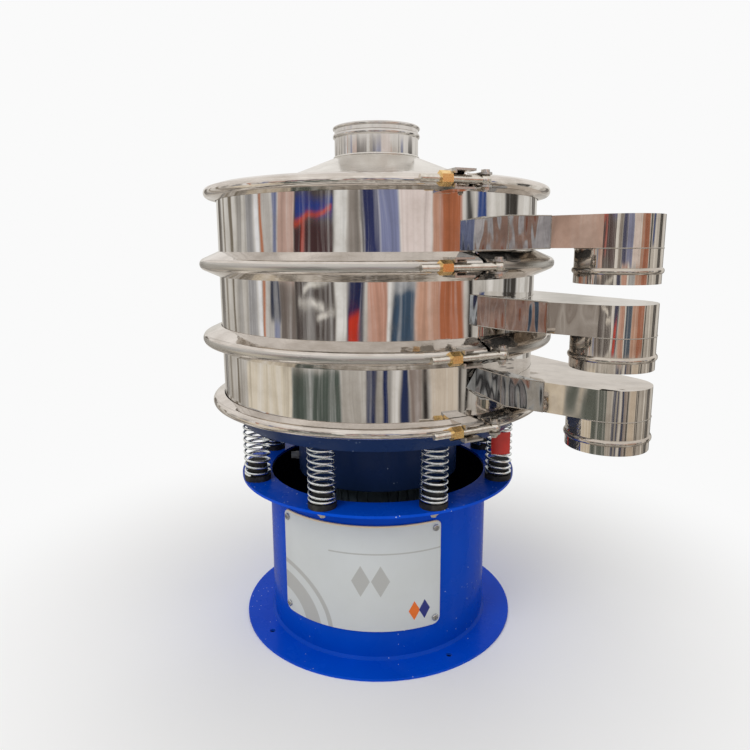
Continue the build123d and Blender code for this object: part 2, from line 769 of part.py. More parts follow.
def main():
    write("base_flange", base_flange())
    write("base_shell", base_shell())
    write("base_top_ring", base_top_ring())
    write("front_plate", front_plate())
    write("plate_screws", plate_screws())
    write("spring_pads", spring_pads())
    write("spring_bolts", spring_bolts())
    for index in range(spring_count):
        write(f"spring_{index + 1}", coil_spring(index))
    write("red_tag", red_tag())
    write("bowl", bowl())
    write("motor_drum", motor_drum())
    write("cable_gland", cable_gland())
    write("vibration_motor", vibration_motor())
    write("discharge_dome", discharge_dome())
    for deck, place in enumerate(("lower", "middle", "upper")):
        write(f"{place}_frame", deck_frame(deck))
        write(f"{place}_outlet", outlet_duct(deck))
        write(f"{place}_spout", outlet_spout(deck))
        write(f"{place}_hood", outlet_hood(deck))
    write("lower_screen", sieve_screen(1))
    write("upper_screen", sieve_screen(2))
    write("gaskets", Compound([gasket(0), gasket(3)]))
    write("cover", cover())
    write("inlet_collar", inlet_collar())
    rings = range(len(ring_z))
    write("latch_pins", Compound([latch_pin(ring) for ring in rings]))
    for ring in rings:
        write(f"clamp_band_{ring + 1}", clamp_band(ring))
        write(f"swing_bolt_{ring + 1}", swing_bolt(ring))
        write(f"latch_nut_{ring + 1}", latch_nut(ring))


main()
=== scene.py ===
"""Looks of the round vibrating screen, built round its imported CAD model.

Metres, +Z up, in the CAD's own frame. The front is -Y, and an angle round the machine is counted
from the front towards +X.
"""

from math import cos, pi, radians, sin, tau

import bpy
from mathutils import Matrix, Vector


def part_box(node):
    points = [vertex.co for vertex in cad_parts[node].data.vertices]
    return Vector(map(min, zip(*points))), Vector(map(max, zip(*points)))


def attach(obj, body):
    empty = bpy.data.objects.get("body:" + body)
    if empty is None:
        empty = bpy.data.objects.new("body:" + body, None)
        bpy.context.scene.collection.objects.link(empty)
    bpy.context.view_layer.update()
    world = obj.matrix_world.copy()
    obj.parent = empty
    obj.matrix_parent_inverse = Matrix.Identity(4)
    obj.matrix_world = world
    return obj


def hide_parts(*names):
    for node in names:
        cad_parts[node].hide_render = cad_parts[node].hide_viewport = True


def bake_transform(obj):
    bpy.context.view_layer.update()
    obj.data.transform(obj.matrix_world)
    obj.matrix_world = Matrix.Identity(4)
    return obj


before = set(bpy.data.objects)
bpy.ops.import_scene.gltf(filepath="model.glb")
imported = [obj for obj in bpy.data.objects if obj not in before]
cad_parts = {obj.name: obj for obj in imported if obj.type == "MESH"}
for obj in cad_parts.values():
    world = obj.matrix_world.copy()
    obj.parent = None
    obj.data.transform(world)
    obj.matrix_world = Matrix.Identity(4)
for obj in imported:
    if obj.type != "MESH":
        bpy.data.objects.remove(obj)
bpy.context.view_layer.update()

RANGE = "ShaderNodeMapRange"
NOISE = "ShaderNodeTexNoise"
BUMP = "ShaderNodeBump"
SMOOTH = {"interpolation_type": "SMOOTHSTEP"}
# Two kinds of noise: ragged clouds, and plainer specks.
CLOUDS = {"Detail": 4.0, "Roughness": 0.6}
SPECKS = {"Detail": 3.0, "Roughness": 0.6}

# All sizes are in metres and all angles in degrees, unless a comment says otherwise.

# Eight springs on one circle.
SPRING_COUNT = 8
SPRING_CIRCLE_R = 0.250
SPRING_FIRST_ANGLE = 22.5
SPRING_WIRE_R = 0.00225
SPRING_MIDDLE_R = 0.02275
SPRING_LOW_Z = 0.317
SPRING_H = 0.100
SPRING_TURNS = 9.0
SPRING_DEAD_COILS = 1.0
SPRING_SIDES = 10
SPRING_TURN_STEPS = 30

# The upper screen. Its mesh is drawn coarser than the real one, so that the wires show.
SCREEN_R = 0.2855
SCREEN_PITCH = 0.0085
SCREEN_WIRE_R = 0.0009
SCREEN_WIRE_SIDES = 4
SCREEN_RING_R = 0.2925
SCREEN_RING_W = 0.0052
SCREEN_RING_H = 0.016
SCREEN_RING_STEPS = 160

# Where the weld beads run. A hood's lines are points as (x, z), its bends as (x, y).
FRAME_R = 0.300
DUCT_START = 48.4
DUCT_END = 105.0
HOOD_FRAME_END = 0.222
HOOD_BEND = {"lower": (0.1568, -0.2661), "middle": (0.1568, -0.2661), "upper": (0.1488, -0.2707)}
HOOD_CORNER = (0.2730, -0.2434)
HOOD_SEAM = {"lower": 0.1995, "middle": 0.2035, "upper": 0.2035}
HOOD_LOW = {"lower": ((0.1434, 0.5225), (0.2080, 0.4891), (0.2730, 0.4755)),
            "middle": ((0.1457, 0.6245), (0.2093, 0.6130), (0.2730, 0.6065)),
            "upper": ((0.1273, 0.7390), (0.2000, 0.7390), (0.2730, 0.7415))}
HOOD_HIGH = {"lower": ((0.1588, 0.5546), (0.2082, 0.5379), (0.2730, 0.5255)),
             "middle": ((0.1457, 0.6705), (0.2093, 0.6630), (0.2730, 0.6565)),
             "upper": ((0.1273, 0.7831), (0.2000, 0.7915), (0.2730, 0.7915))}
SPOUT_R = 0.066
INLET_R = 0.079
BASE_R = 0.220
# Each weld's bead radius, and how far its drops swell as a share of that.
OUTLET_BEAD = (0.0009, 0.12)
COLLAR_BEAD = (0.0024, 0.05)
BASE_BEAD = (0.0028, 0.12)
DROP_PITCH = 0.0036
BEAD_STEP = 0.0009
BEAD_SIDES = 7
# How many steps each run of points takes: round the ducts, the spouts, the collar and the base,
# and along a hood's edges on the frame and on its front.
DUCT_STEPS = 48
SPOUT_STEPS = 72
COLLAR_STEPS = 96
BASE_STEPS = 120
HOOD_FRAME_STEPS = 24
HOOD_FRONT_STEPS = 16
# How far each bead lies from the edge that it follows.
DUCT_BEAD_IN = 0.0004
SPOUT_BEAD_DOWN = 0.0003
HOOD_BEAD_IN = 0.001
COLLAR_BEAD_UP = 0.0025
BASE_BEAD_DOWN = 0.0005

# Distances from the machine's axis at which the look changes: the lugs' duller finish, and the
# painted shade inside the shell.
LUG_START_R = 0.3335
SHELL_INNER_R = 0.2175

# The pattern on the front plate: metres across it to the right, and up from the floor. An arc
# has its inner and outer radius, a lozenge its middle and its half width and half height.
PLATE_R = 0.2233
PLATE_EDGE = 0.0028
PLATE_SKIN = 0.0002
ARC_CENTRE = (-0.205, 0.045)
ARCS = ((0.112, 0.121), (0.062, 0.096))
RULE_Z = 0.212
RULE_HALF_H = 0.0013
RULE_START = -0.092
GREY_LOZENGES = ((-0.032, 0.160, 0.017, 0.030), (0.004, 0.160, 0.017, 0.030))
COLOURED_LOZENGES = ((0.066, 0.098, 0.011, 0.019, "DF6B1C"),
                     (0.086, 0.098, 0.011, 0.019, "1E2A78"))

# The latches and the thread on their rods.
LATCH_COUNT = 4
EYE_R = 0.0095
BRASS_H = 0.018
ROD_TAIL = 0.031
ROD_R = 0.006
THREAD_PITCH = 0.00125
THREAD_DEPTH = 0.00014
THREAD_SIDES = 4
THREAD_TURN_STEPS = 20
THREAD_BEFORE_NUT = 0.018
THREAD_END_GAP = 0.0015


def rgb(code):
    """A colour from its six-figure sRGB code, as linear red, green, blue and alpha."""
    channels = []
    for start in (0, 2, 4):
        part = int(code[start:start + 2], 16) / 255
        channels.append(part / 12.92 if part <= 0.04045 else ((part + 0.055) / 1.055) ** 2.4)
    return (*channels, 1.0)


def connect(tree, made, inputs):
    """Fills a node's sockets, by name or in their order, from values, sockets or other nodes."""
    named = inputs.items() if isinstance(inputs, dict) else enumerate(inputs)
    for name, value in named:
        if isinstance(value, bpy.types.Node):
            value = next(socket for socket in value.outputs if socket.enabled)
        if isinstance(value, bpy.types.NodeSocket):
            tree.links.new(value, made.inputs[name])
        else:
            made.inputs[name].default_value = value


def add(tree, kind, inputs=(), **settings):
    """Adds a node with its settings and links."""
    made = tree.nodes.new(kind)
    for name, value in settings.items():
        setattr(made, name, value)
    connect(tree, made, inputs)
    return made


def calc(tree, operation, *values):
    """Adds a math node for one operation."""
    return add(tree, "ShaderNodeMath", values, operation=operation)


def mix(tree, share, first, second):
    """Adds a node that mixes two colours, from the first to the second as the share grows."""
    return add(tree, "ShaderNodeMix", {0: share, 6: first, 7: second}, data_type="RGBA")


def places(tree, x=1.0, y=1.0, z=1.0):
    """The point on the piece in metres, stretched along each axis."""
    where = add(tree, "ShaderNodeTexCoord")
    return add(tree, "ShaderNodeMapping", {"Vector": where.outputs["Object"],
                                           "Scale": (x, y, z)})


def round_places(tree):
    """Angle from the front towards +X in radians, distance from the machine's axis, and height."""
    where = add(tree, "ShaderNodeTexCoord")
    apart = add(tree, "ShaderNodeSeparateXYZ", {0: where.outputs["Object"]})
    x, y, height = apart.outputs
    turned = calc(tree, "ARCTAN2", x, calc(tree, "MULTIPLY", y, -1.0))
    squares = [calc(tree, "MULTIPLY", side, side) for side in (x, y)]
    away = calc(tree, "SQRT", calc(tree, "ADD", *squares))
    return turned, away, height


def material(name):
    """An empty material with its shader, as (material, tree, shader)."""
    made = bpy.data.materials.new(name)
    made.use_nodes = True
    tree = made.node_tree
    tree.nodes.clear()
    shader = add(tree, "ShaderNodeBsdfPrincipled")
    add(tree, "ShaderNodeOutputMaterial", {"Surface": shader})
    return made, tree, shader


def fill(tree, shader, **values):
    """Puts values, nodes or sockets on the shader's inputs; an underscore stands for a space."""
    connect(tree, shader, {name.replace("_", " "): value for name, value in values.items()})


def sheet_steel(name, pale, deep, shine_low, shine_high, wave, brush, cell=13.0, tall=0.35,
                metal=1.0):
    """Stainless sheet, rolled and polished: reflections that bend over slow waves, fine level
    polish lines, and hand smudges that dull it in patches. The waves are 45 to 80 mm wide and the
    smudges 50 mm. The lines are drawn 0.5 mm apart, some five times coarser than real."""
    made, tree, shader = material(name)
    slow = add(tree, NOISE, {"Vector": places(tree, 1.0, 1.0, tall), "Scale": cell, "Detail": 2.0})
    fine = add(tree, NOISE, {"Vector": places(tree, 14.0, 14.0, 1900.0), "Scale": 1.0,
                             "Detail": 4.0, "Roughness": 0.65})
    smudge = add(tree, NOISE,
                 {"Vector": places(tree), "Scale": 21.0, "Detail": 5.0, "Roughness": 0.62})
    tone = add(tree, RANGE, (smudge, 0.35, 0.75), **SMOOTH)
    dull = calc(tree, "MULTIPLY_ADD", fine, 0.35, calc(tree, "MULTIPLY", tone, 0.65))
    rough = add(tree, RANGE, (dull, 0.1, 0.9, shine_low, shine_high))
    waves = add(tree, BUMP, {"Height": slow, "Distance": wave})
    lines = add(tree, BUMP, {"Height": fine, "Distance": brush, "Normal": waves})
    shade = mix(tree, tone, rgb(pale), rgb(deep))
    fill(tree, shader, Base_Color=shade, Metallic=metal, Roughness=rough, Normal=lines)
    return made


def band_steel():
    """Stainless band, rolled and polished: long polish lines round the machine, and flanks that
    are warm and a little cloudy in patches of 60 mm. The lines are drawn 1 mm apart, some ten
    times coarser than real. The cast lugs and yokes, farther out, are duller and greyer."""
    made, tree, shader = material("band_polished_stainless")
    turned, away, height = round_places(tree)
    rings = add(tree, "ShaderNodeCombineXYZ", {"X": calc(tree, "MULTIPLY", turned, 1.6),
                                               "Y": calc(tree, "MULTIPLY", away, 900.0),
                                               "Z": calc(tree, "MULTIPLY", height, 900.0)})
    fine = add(tree, NOISE, {"Vector": rings, "Scale": 1.0, **CLOUDS})
    cloud = add(tree, NOISE, {"Vector": places(tree, 1.0, 1.0, 3.0), "Scale": 17.0, **CLOUDS})
    tone = add(tree, RANGE, (cloud, 0.3, 0.75), **SMOOTH)
    rough = calc(tree, "MULTIPLY_ADD", fine, 0.04, add(tree, RANGE, (tone, 0.0, 1.0, 0.012, 0.05)))
    lug = calc(tree, "GREATER_THAN", away, LUG_START_R)
    rough = calc(tree, "MULTIPLY_ADD", lug, 0.24, rough)
    waves = add(tree, BUMP, {"Height": cloud, "Distance": 0.0006})
    shade = mix(tree, tone, rgb("E4DED8"), rgb("CCC4BC"))
    shade = mix(tree, lug, shade, rgb("C4C1BC"))
    fill(tree, shader, Base_Color=shade, Metallic=0.94, Roughness=rough,
         Normal=add(tree, BUMP, {"Height": fine, "Distance": 0.00001, "Normal": waves}))
    return made


def satin_steel(name, pale, deep, low, high):
    """Small stainless pieces, cast and tumbled: a soft shine with pits, and rubbed patches of
    8 mm. The pits are drawn 1 mm wide, some five times coarser than real."""
    made, tree, shader = material(name)
    pits = add(tree, NOISE, {"Vector": places(tree), "Scale": 900.0, **SPECKS})
    rub = add(tree, NOISE, {"Vector": places(tree), "Scale": 120.0, **CLOUDS})
    tone = add(tree, RANGE, (rub, 0.35, 0.7), **SMOOTH)
    rough = calc(tree, "MULTIPLY_ADD", pits, 0.12, add(tree, RANGE, (tone, 0.0, 1.0, low, high)))
    shade = mix(tree, tone, rgb(pale), rgb(deep))
    fill(tree, shader, Base_Color=shade, Metallic=1.0, Roughness=rough,
         Normal=add(tree, BUMP, {"Height": pits, "Distance": 0.00004}))
    return made


def brass():
    """Brass bar, drawn: warm gold with darker tarnish in patches of 6 mm, and fine drawing lines
    0.3 mm apart."""
    made, tree, shader = material("latch_nut_brass")
    tarnish = add(tree, NOISE, {"Vector": places(tree), "Scale": 160.0, **CLOUDS})
    lines = add(tree, NOISE, {"Vector": places(tree, 1.0, 1.0, 9.0), "Scale": 420.0, "Detail": 2.0})
    tone = add(tree, RANGE, (tarnish, 0.4, 0.72), **SMOOTH)
    rough = add(tree, RANGE, (calc(tree, "ADD", tone, lines), 0.3, 1.6, 0.16, 0.32))
    shade = mix(tree, tone, rgb("FFDD9A"), rgb("F4C57F"))
    fill(tree, shader, Base_Color=shade, Metallic=1.0, Roughness=rough,
         Normal=add(tree, BUMP, {"Height": lines, "Distance": 0.00003}))
    return made


def enamel(name, pale, deep, speck, dust_and_glint_amount, painted_shade_r=0.0):
    """Enamel, sprayed: an even deep colour under a skin of orange peel 4 mm wide, a slow change
    of tone over 140 mm, and pale specks, partly dust and partly painted glints of ceiling
    lights. The specks are drawn 2 mm wide, some four times coarser than real. Nearer the
    machine's axis than the last radius given it is painted near-black, as painted shade inside
    the shell."""
    made, tree, shader = material(name)
    peel = add(tree, NOISE, {"Vector": places(tree), "Scale": 260.0, "Detail": 2.0})
    slow = add(tree, NOISE, {"Vector": places(tree), "Scale": 7.0, "Detail": 3.0})
    grains = add(tree, "ShaderNodeTexVoronoi", {"Vector": places(tree), "Scale": 170.0})
    patch = add(tree, NOISE,
                {"Vector": places(tree), "Scale": 9.0, "Detail": 5.0, "Roughness": 0.65})
    near = calc(tree, "LESS_THAN", grains.outputs["Distance"], 0.16)
    some = add(tree, RANGE, (patch, 0.52, 0.72, 0.0, dust_and_glint_amount))
    chance = add(tree, "ShaderNodeSeparateColor", {0: grains.outputs["Color"]})
    kept = calc(tree, "LESS_THAN", chance.outputs[0], some)
    dust = calc(tree, "MULTIPLY", near, kept)
    film = calc(tree, "MULTIPLY", some, 0.03)
    base = mix(tree, slow, rgb(pale), rgb(deep))
    base = mix(tree, film, base, rgb("8E9AB4"))
    # Pale specks: partly dust, partly painted glints of ceiling lights.
    base = mix(tree, dust, base, rgb(speck))
    away = round_places(tree)[1]
    # Near-black inside the shell: painted shade in the recess under the top ring.
    base = mix(tree, calc(tree, "LESS_THAN", away, painted_shade_r), base, rgb("0B0F1E"))
    rough = calc(tree, "MULTIPLY_ADD", dust, 0.4, add(tree, RANGE, (patch, 0.2, 0.8, 0.2, 0.34)))
    fill(tree, shader, Base_Color=base, Roughness=rough, Specular_IOR_Level=0.05, Coat_Weight=0.05,
         Coat_Roughness=0.05, Normal=add(tree, BUMP, {"Height": peel, "Distance": 0.00012}))
    return made


def plate_paint():
    """Coated sheet: off-white and satin, cream on its cut edges, with a plain printed pattern of
    two grey arcs, a rule and four small lozenges. The skin's grain is drawn 1.4 mm wide, some
    five times the real one, and the mottle 90 mm."""
    made, tree, shader = material("front_plate_coating")
    turned, away, height = round_places(tree)
    across = calc(tree, "MULTIPLY", turned, PLATE_R)
    skin = add(tree, NOISE, {"Vector": places(tree), "Scale": 700.0, "Detail": 2.0})
    mottle = add(tree, NOISE, {"Vector": places(tree), "Scale": 11.0, **CLOUDS})
    base = mix(tree, mottle, rgb("CCD0D1"), rgb("C0C3C2"))
    offsets = [calc(tree, "SUBTRACT", value, middle)
               for value, middle in zip((across, height), ARC_CENTRE)]
    squares = [calc(tree, "MULTIPLY", side, side) for side in offsets]
    from_centre = calc(tree, "SQRT", calc(tree, "ADD", *squares))

    def arc(inner, outer):
        return calc(tree, "MULTIPLY", calc(tree, "GREATER_THAN", from_centre, inner),
                    calc(tree, "LESS_THAN", from_centre, outer))

    def lozenge(x, z, half_w, half_h):
        shares = []
        for value, middle, half in ((across, x, half_w), (height, z, half_h)):
            off = calc(tree, "SUBTRACT", value, middle)
            off = calc(tree, "ABSOLUTE", off)
            shares.append(calc(tree, "DIVIDE", off, half))
        total = calc(tree, "ADD", *shares)
        return calc(tree, "LESS_THAN", total, 1.0)

    off = calc(tree, "SUBTRACT", height, RULE_Z)
    off = calc(tree, "ABSOLUTE", off)
    grey = calc(tree, "MULTIPLY", calc(tree, "LESS_THAN", off, RULE_HALF_H),
                calc(tree, "GREATER_THAN", across, RULE_START))
    for shape in [arc(*radii) for radii in ARCS] + [lozenge(*spot) for spot in GREY_LOZENGES]:
        grey = calc(tree, "MAXIMUM", grey, shape)
    base = mix(tree, calc(tree, "MULTIPLY", grey, 0.9), base, rgb("A9A9A6"))
    for *spot, ink in COLOURED_LOZENGES:
        base = mix(tree, lozenge(*spot), base, rgb(ink))
    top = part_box("front_plate")[1].z - PLATE_EDGE
    edge = calc(tree, "MAXIMUM", calc(tree, "LESS_THAN", away, PLATE_R - PLATE_SKIN),
                calc(tree, "GREATER_THAN", height, top))
    base = mix(tree, edge, base, rgb("D9C3A3"))
    fill(tree, shader, Base_Color=base, Roughness=add(tree, RANGE, (mottle, 0.2, 0.8, 0.33, 0.44)),
         Normal=add(tree, BUMP, {"Height": skin, "Distance": 0.00002}))
    return made


def zinc(name, pale, deep, low, high, grain):
    """Steel with zinc plating: a bright film whose tint varies in patches of 15 mm, with fine
    grain. The grain is drawn 1 to 2 mm wide, some ten times coarser than real."""
    made, tree, shader = material(name)
    patch = add(tree, NOISE, {"Vector": places(tree), "Scale": 65.0, **CLOUDS})
    fine = add(tree, NOISE, {"Vector": places(tree), "Scale": grain, "Detail": 2.0})
    tone = add(tree, RANGE, (patch, 0.35, 0.7), **SMOOTH)
    rough = calc(tree, "MULTIPLY_ADD", fine, 0.1, add(tree, RANGE, (tone, 0.0, 1.0, low, high)))
    shade = mix(tree, tone, rgb(pale), rgb(deep))
    fill(tree, shader, Base_Color=shade, Metallic=1.0, Roughness=rough,
         Normal=add(tree, BUMP, {"Height": fine, "Distance": 0.00002}))
    return made


def rubber():
    """Black rubber, moulded: dull, with a grey bloom of dust in patches of 11 mm. Its grain is
    drawn 1 mm wide, some four times coarser than real."""
    made, tree, shader = material("spring_seat_rubber")
    grain = add(tree, NOISE, {"Vector": places(tree), "Scale": 1100.0, **SPECKS})
    dust = add(tree, NOISE,
               {"Vector": places(tree), "Scale": 90.0, "Detail": 4.0, "Roughness": 0.65})
    tone = add(tree, RANGE, (dust, 0.45, 0.8, 0.0, 0.6), **SMOOTH)
    shade = mix(tree, tone, rgb("1B1B1C"), rgb("4A4A49"))
    fill(tree, shader, Base_Color=shade, Roughness=add(tree, RANGE, (dust, 0.2, 0.8, 0.5, 0.75)),
         Specular_IOR_Level=0.4, Normal=add(tree, BUMP, {"Height": grain, "Distance": 0.00008}))
    return made


def card():
    """Card, coated plain red: faint level fibres, and a deeper red in patches of 17 mm. The
    fibres are drawn 0.4 mm thick, some four times coarser than real."""
    made, tree, shader = material("tag_red_card")
    fibre = add(tree, NOISE, {"Vector": places(tree, 1.0, 1.0, 3.0), "Scale": 800.0, **SPECKS})
    worn = add(tree, NOISE, {"Vector": places(tree), "Scale": 60.0, **CLOUDS})
    tone = add(tree, RANGE, (worn, 0.3, 0.8))
    shade = mix(tree, tone, rgb("CC2C20"), rgb("B4281F"))
    fill(tree, shader, Base_Color=shade, Roughness=add(tree, RANGE, (fibre, 0.3, 0.7, 0.38, 0.55)),
         Normal=add(tree, BUMP, {"Height": fibre, "Distance": 0.00005}))
    return made


def nylon():
    """Grey nylon, moulded: a soft sheen with the mould's grain, drawn 0.7 mm wide, some five
    times coarser than real."""
    made, tree, shader = material("gland_nylon")
    grain = add(tree, NOISE, {"Vector": places(tree), "Scale": 1500.0, "Detail": 2.0})
    slow = add(tree, NOISE, {"Vector": places(tree), "Scale": 80.0, "Detail": 3.0})
    shade = mix(tree, slow, rgb("8E9195"), rgb("74777B"))
    fill(tree, shader, Base_Color=shade, Roughness=add(tree, RANGE, (grain, 0.3, 0.7, 0.42, 0.56)),
         Normal=add(tree, BUMP, {"Height": grain, "Distance": 0.00003}))
    return made


def woven_wire(name, pitch, wire):
    """Fine stainless mesh, woven: crossed round wires, with the gaps between them painted
    near-black as painted shade for the dark inside seen through them. It is drawn with wider
    meshes and thicker wires than the real one, so that they show."""
    made, tree, shader = material(name)
    where = add(tree, "ShaderNodeTexCoord")
    apart = add(tree, "ShaderNodeSeparateXYZ", {0: where.outputs["Object"]})

    def wire_height(side, other):
        cell = calc(tree, "DIVIDE", apart.outputs[side], pitch)
        off = calc(tree, "FRACT", cell)
        off = calc(tree, "SUBTRACT", off, 0.5)
        off = calc(tree, "ABSOLUTE", off)
        round_top = add(tree, RANGE, (off, 0.0, wire / pitch / 2, 1.0, 0.0))
        row = calc(tree, "FLOOR", cell)
        row = calc(tree, "PINGPONG", row, 1.0)
        along = calc(tree, "DIVIDE", apart.outputs[other], pitch)
        lift = calc(tree, "ADD", along, row)
        lift = calc(tree, "MULTIPLY", lift, pi)
        lift = calc(tree, "SINE", lift)
        weave = calc(tree, "MULTIPLY_ADD", lift, 0.25, 0.75)
        return calc(tree, "MULTIPLY", calc(tree, "SQRT", round_top), weave)

    top = calc(tree, "MAXIMUM", wire_height(0, 1), wire_height(1, 0))
    solid = add(tree, RANGE, (top, 0.02, 0.2))
    # The gaps are painted near-black: painted shade seen through the mesh.
    shade = mix(tree, solid, rgb("17181A"), rgb("B9B7B2"))
    fill(tree, shader, Base_Color=shade, Metallic=add(tree, RANGE, (solid, 0.0, 1.0)),
         Roughness=0.34, Normal=add(tree, BUMP, {"Height": top, "Distance": wire / 2}))
    return made


def weld_steel():
    """Stainless weld bead, brushed bright: a satin shine with a straw heat tint in patches of
    18 mm, and grain drawn 0.8 mm wide, some four times coarser than real."""
    made, tree, shader = material("bright_weld_bead")
    heat = add(tree, NOISE, {"Vector": places(tree), "Scale": 55.0, **SPECKS})
    grain = add(tree, NOISE, {"Vector": places(tree), "Scale": 1300.0, **SPECKS})
    tint = add(tree, RANGE, (heat, 0.5, 0.72, 0.0, 0.55), **SMOOTH)
    shade = mix(tree, tint, rgb("BDB9B2"), rgb("A58E6C"))
    fill(tree, shader, Base_Color=shade, Metallic=1.0,
         Roughness=add(tree, RANGE, (grain, 0.3, 0.7, 0.22, 0.4)),
         Normal=add(tree, BUMP, {"Height": grain, "Distance": 0.00003}))
    return made


def motor_paint():
    """Cast iron under thick grey machine paint: a satin skin over lumps 3 mm wide, and dirt in
    patches of 40 mm."""
    made, tree, shader = material("motor_cast_paint")
    cast = add(tree, NOISE, {"Vector": places(tree), "Scale": 330.0, **CLOUDS})
    dirt = add(tree, NOISE, {"Vector": places(tree), "Scale": 25.0, **CLOUDS})
    tone = add(tree, RANGE, (dirt, 0.4, 0.8))
    shade = mix(tree, tone, rgb("5C6A74"), rgb("3D444A"))
    fill(tree, shader, Base_Color=shade, Roughness=add(tree, RANGE, (dirt, 0.2, 0.8, 0.42, 0.62)),
         Normal=add(tree, BUMP, {"Height": cast, "Distance": 0.0003}))
    return made


# The frames' walls mirror sharply. The outlets, folded and welded by hand, are warmer and bend
# more. The hammered hoods are darker and bend most. The spun cover is satin.
WALL = sheet_steel("wall_mirror_stainless", "DCD9D6", "CBC7C2", 0.02, 0.09, 0.0006, 0.000002)
OUTLET = sheet_steel("outlet_mirror_stainless", "CFC7BD", "B4ABA1", 0.015, 0.07, 0.002, 0.000002,
                     metal=0.93)
HOOD = sheet_steel("hood_mirror_stainless", "A5A7A9", "808285", 0.015, 0.06, 0.007, 0.000002,
                   22.0, 0.25, 0.93)
COVER = sheet_steel("cover_spun_stainless", "EDEBE6", "E0DDD7", 0.13, 0.26, 0.0005, 0.00001)
BAND = band_steel()
# The latches' rods and eyes, and the turned pins, which are a little duller.
LATCH = satin_steel("latch_satin_stainless", "E8E3DB", "D3CCC2", 0.09, 0.18)
PIN = satin_steel("pin_bright_stainless", "DBD6CF", "C2BBB2", 0.12, 0.24)
BRASS = brass()
# One blue for the base, and a darker copy of it with darker specks for the shell, as painted
# shade under the top ring; inside the shell it is painted near-black as painted shade. A navy for
# the bowl and the drum.
BLUE = enamel("base_royal_blue_enamel", "0150D2", "0140B6", "C9D3E6", 0.9)
# A darker copy of the base blue: painted shade on the shell under the top ring.
SHELL_PAINTED_SHADE = enamel("shell_blue_enamel_painted_shade", "014BC4", "013BA8", "A9B8D8", 0.45, SHELL_INNER_R)
NAVY = enamel("bowl_navy_enamel", "21345C", "192A4C", "8F9CB5", 0.35)
PLATE = plate_paint()
# Bluish bright springs, yellower dull bolts, and greyer bright screws.
SPRING = zinc("spring_blue_zinc", "F8FCFD", "E6F0F5", 0.15, 0.26, 600.0)
FASTENER = zinc("fastener_white_zinc", "EDE9DE", "D2CCBE", 0.32, 0.46, 900.0)
SCREW = zinc("screw_bright_zinc", "C9CBCD", "A1A4A8", 0.18, 0.3, 900.0)
RUBBER = rubber()
CARD = card()
NYLON = nylon()
# The upper screen's drawn wires, duller and darker than the latches, and the lower screen's mesh.
COARSE_WIRE = satin_steel("screen_wire_stainless", "BEBBB5", "9B968E", 0.22, 0.36)
FINE_WIRE = woven_wire("fine_screen_stainless", 0.0024, 0.0009)
WELD = weld_steel()
MOTOR = motor_paint()

LOOKS = {
    "base_flange": (BLUE, "blue_paint"),
    "base_shell": (SHELL_PAINTED_SHADE, "blue_paint"),
    "base_top_ring": (BLUE, "blue_paint"),
    "front_plate": (PLATE, "off_white_plate"),
    "plate_screws": (SCREW, "zinc_fasteners"),
    "spring_pads": (RUBBER, "black_rubber"),
    "spring_bolts": (FASTENER, "zinc_fasteners"),
    "red_tag": (CARD, "red_card"),
    "bowl": (NAVY, "dark_blue_paint"),
    "motor_drum": (NAVY, "dark_blue_paint"),
    "cable_gland": (NYLON, "grey_nylon"),
    "vibration_motor": (MOTOR, "motor_paint"),
    "discharge_dome": (WALL, "polished_stainless"),
    "lower_screen": (FINE_WIRE, "screen_mesh"),
    "upper_screen": (FINE_WIRE, "screen_mesh"),
    "gaskets": (RUBBER, "black_rubber"),
    "cover": (COVER, "polished_stainless"),
    "inlet_collar": (WALL, "polished_stainless"),
    "latch_pins": (PIN, "bright_steel"),
}
for place in ("lower", "middle", "upper"):
    LOOKS[f"{place}_frame"] = (WALL, "polished_stainless")
    LOOKS[f"{place}_outlet"] = (OUTLET, "polished_stainless")
    LOOKS[f"{place}_hood"] = (HOOD, "polished_stainless")
    LOOKS[f"{place}_spout"] = (OUTLET, "polished_stainless")
for ring in range(1, LATCH_COUNT + 1):
    LOOKS[f"clamp_band_{ring}"] = (BAND, "polished_stainless")
    LOOKS[f"swing_bolt_{ring}"] = (LATCH, "bright_steel")
    LOOKS[f"latch_nut_{ring}"] = (BRASS, "brass")
for spring in range(1, SPRING_COUNT + 1):
    LOOKS[f"spring_{spring}"] = (SPRING, "zinc_spring_steel")

for name, (look, finish) in LOOKS.items():
    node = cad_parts[name]
    node.data.materials.clear()
    node.data.materials.append(look)


def tree_of(name, wanted, lines=False):
    """A Geometry Nodes tree with named number inputs, and one for bare edges if wanted."""
    tree = bpy.data.node_groups.new(name, "GeometryNodeTree")
    if lines:
        tree.interface.new_socket("Lines", in_out="INPUT", socket_type="NodeSocketGeometry")
    for label, value in wanted.items():
        socket = tree.interface.new_socket(label, in_out="INPUT", socket_type="NodeSocketFloat")
        socket.default_value = value
    tree.interface.new_socket("Geometry", in_out="OUTPUT", socket_type="NodeSocketGeometry")
    return tree, add(tree, "NodeGroupInput")


def grown(name, tree, geometry, look, lines=None):
    """Closes a tree with its material, runs it once, and keeps the outcome as a plain mesh."""
    real = add(tree, "GeometryNodeRealizeInstances", {"Geometry": geometry})
    shaded = add(tree, "GeometryNodeSetShadeSmooth", {"Geometry": real})
    painted = add(tree, "GeometryNodeSetMaterial", {"Geometry": shaded, "Material": look})
    add(tree, "NodeGroupOutput", {"Geometry": painted})
    seed = bpy.data.objects.new(name + "_seed", lines or bpy.data.meshes.new(name + "_seed"))
    bpy.context.scene.collection.objects.link(seed)
    modifier = seed.modifiers.new("grow", "NODES")
    modifier.node_group = tree
    ready = seed.evaluated_get(bpy.context.evaluated_depsgraph_get())
    mesh = bpy.data.meshes.new_from_object(ready)
    mesh.name = name
    bpy.data.objects.remove(seed)
    made = bpy.data.objects.new(name, mesh)
    bpy.context.scene.collection.objects.link(made)
    return made


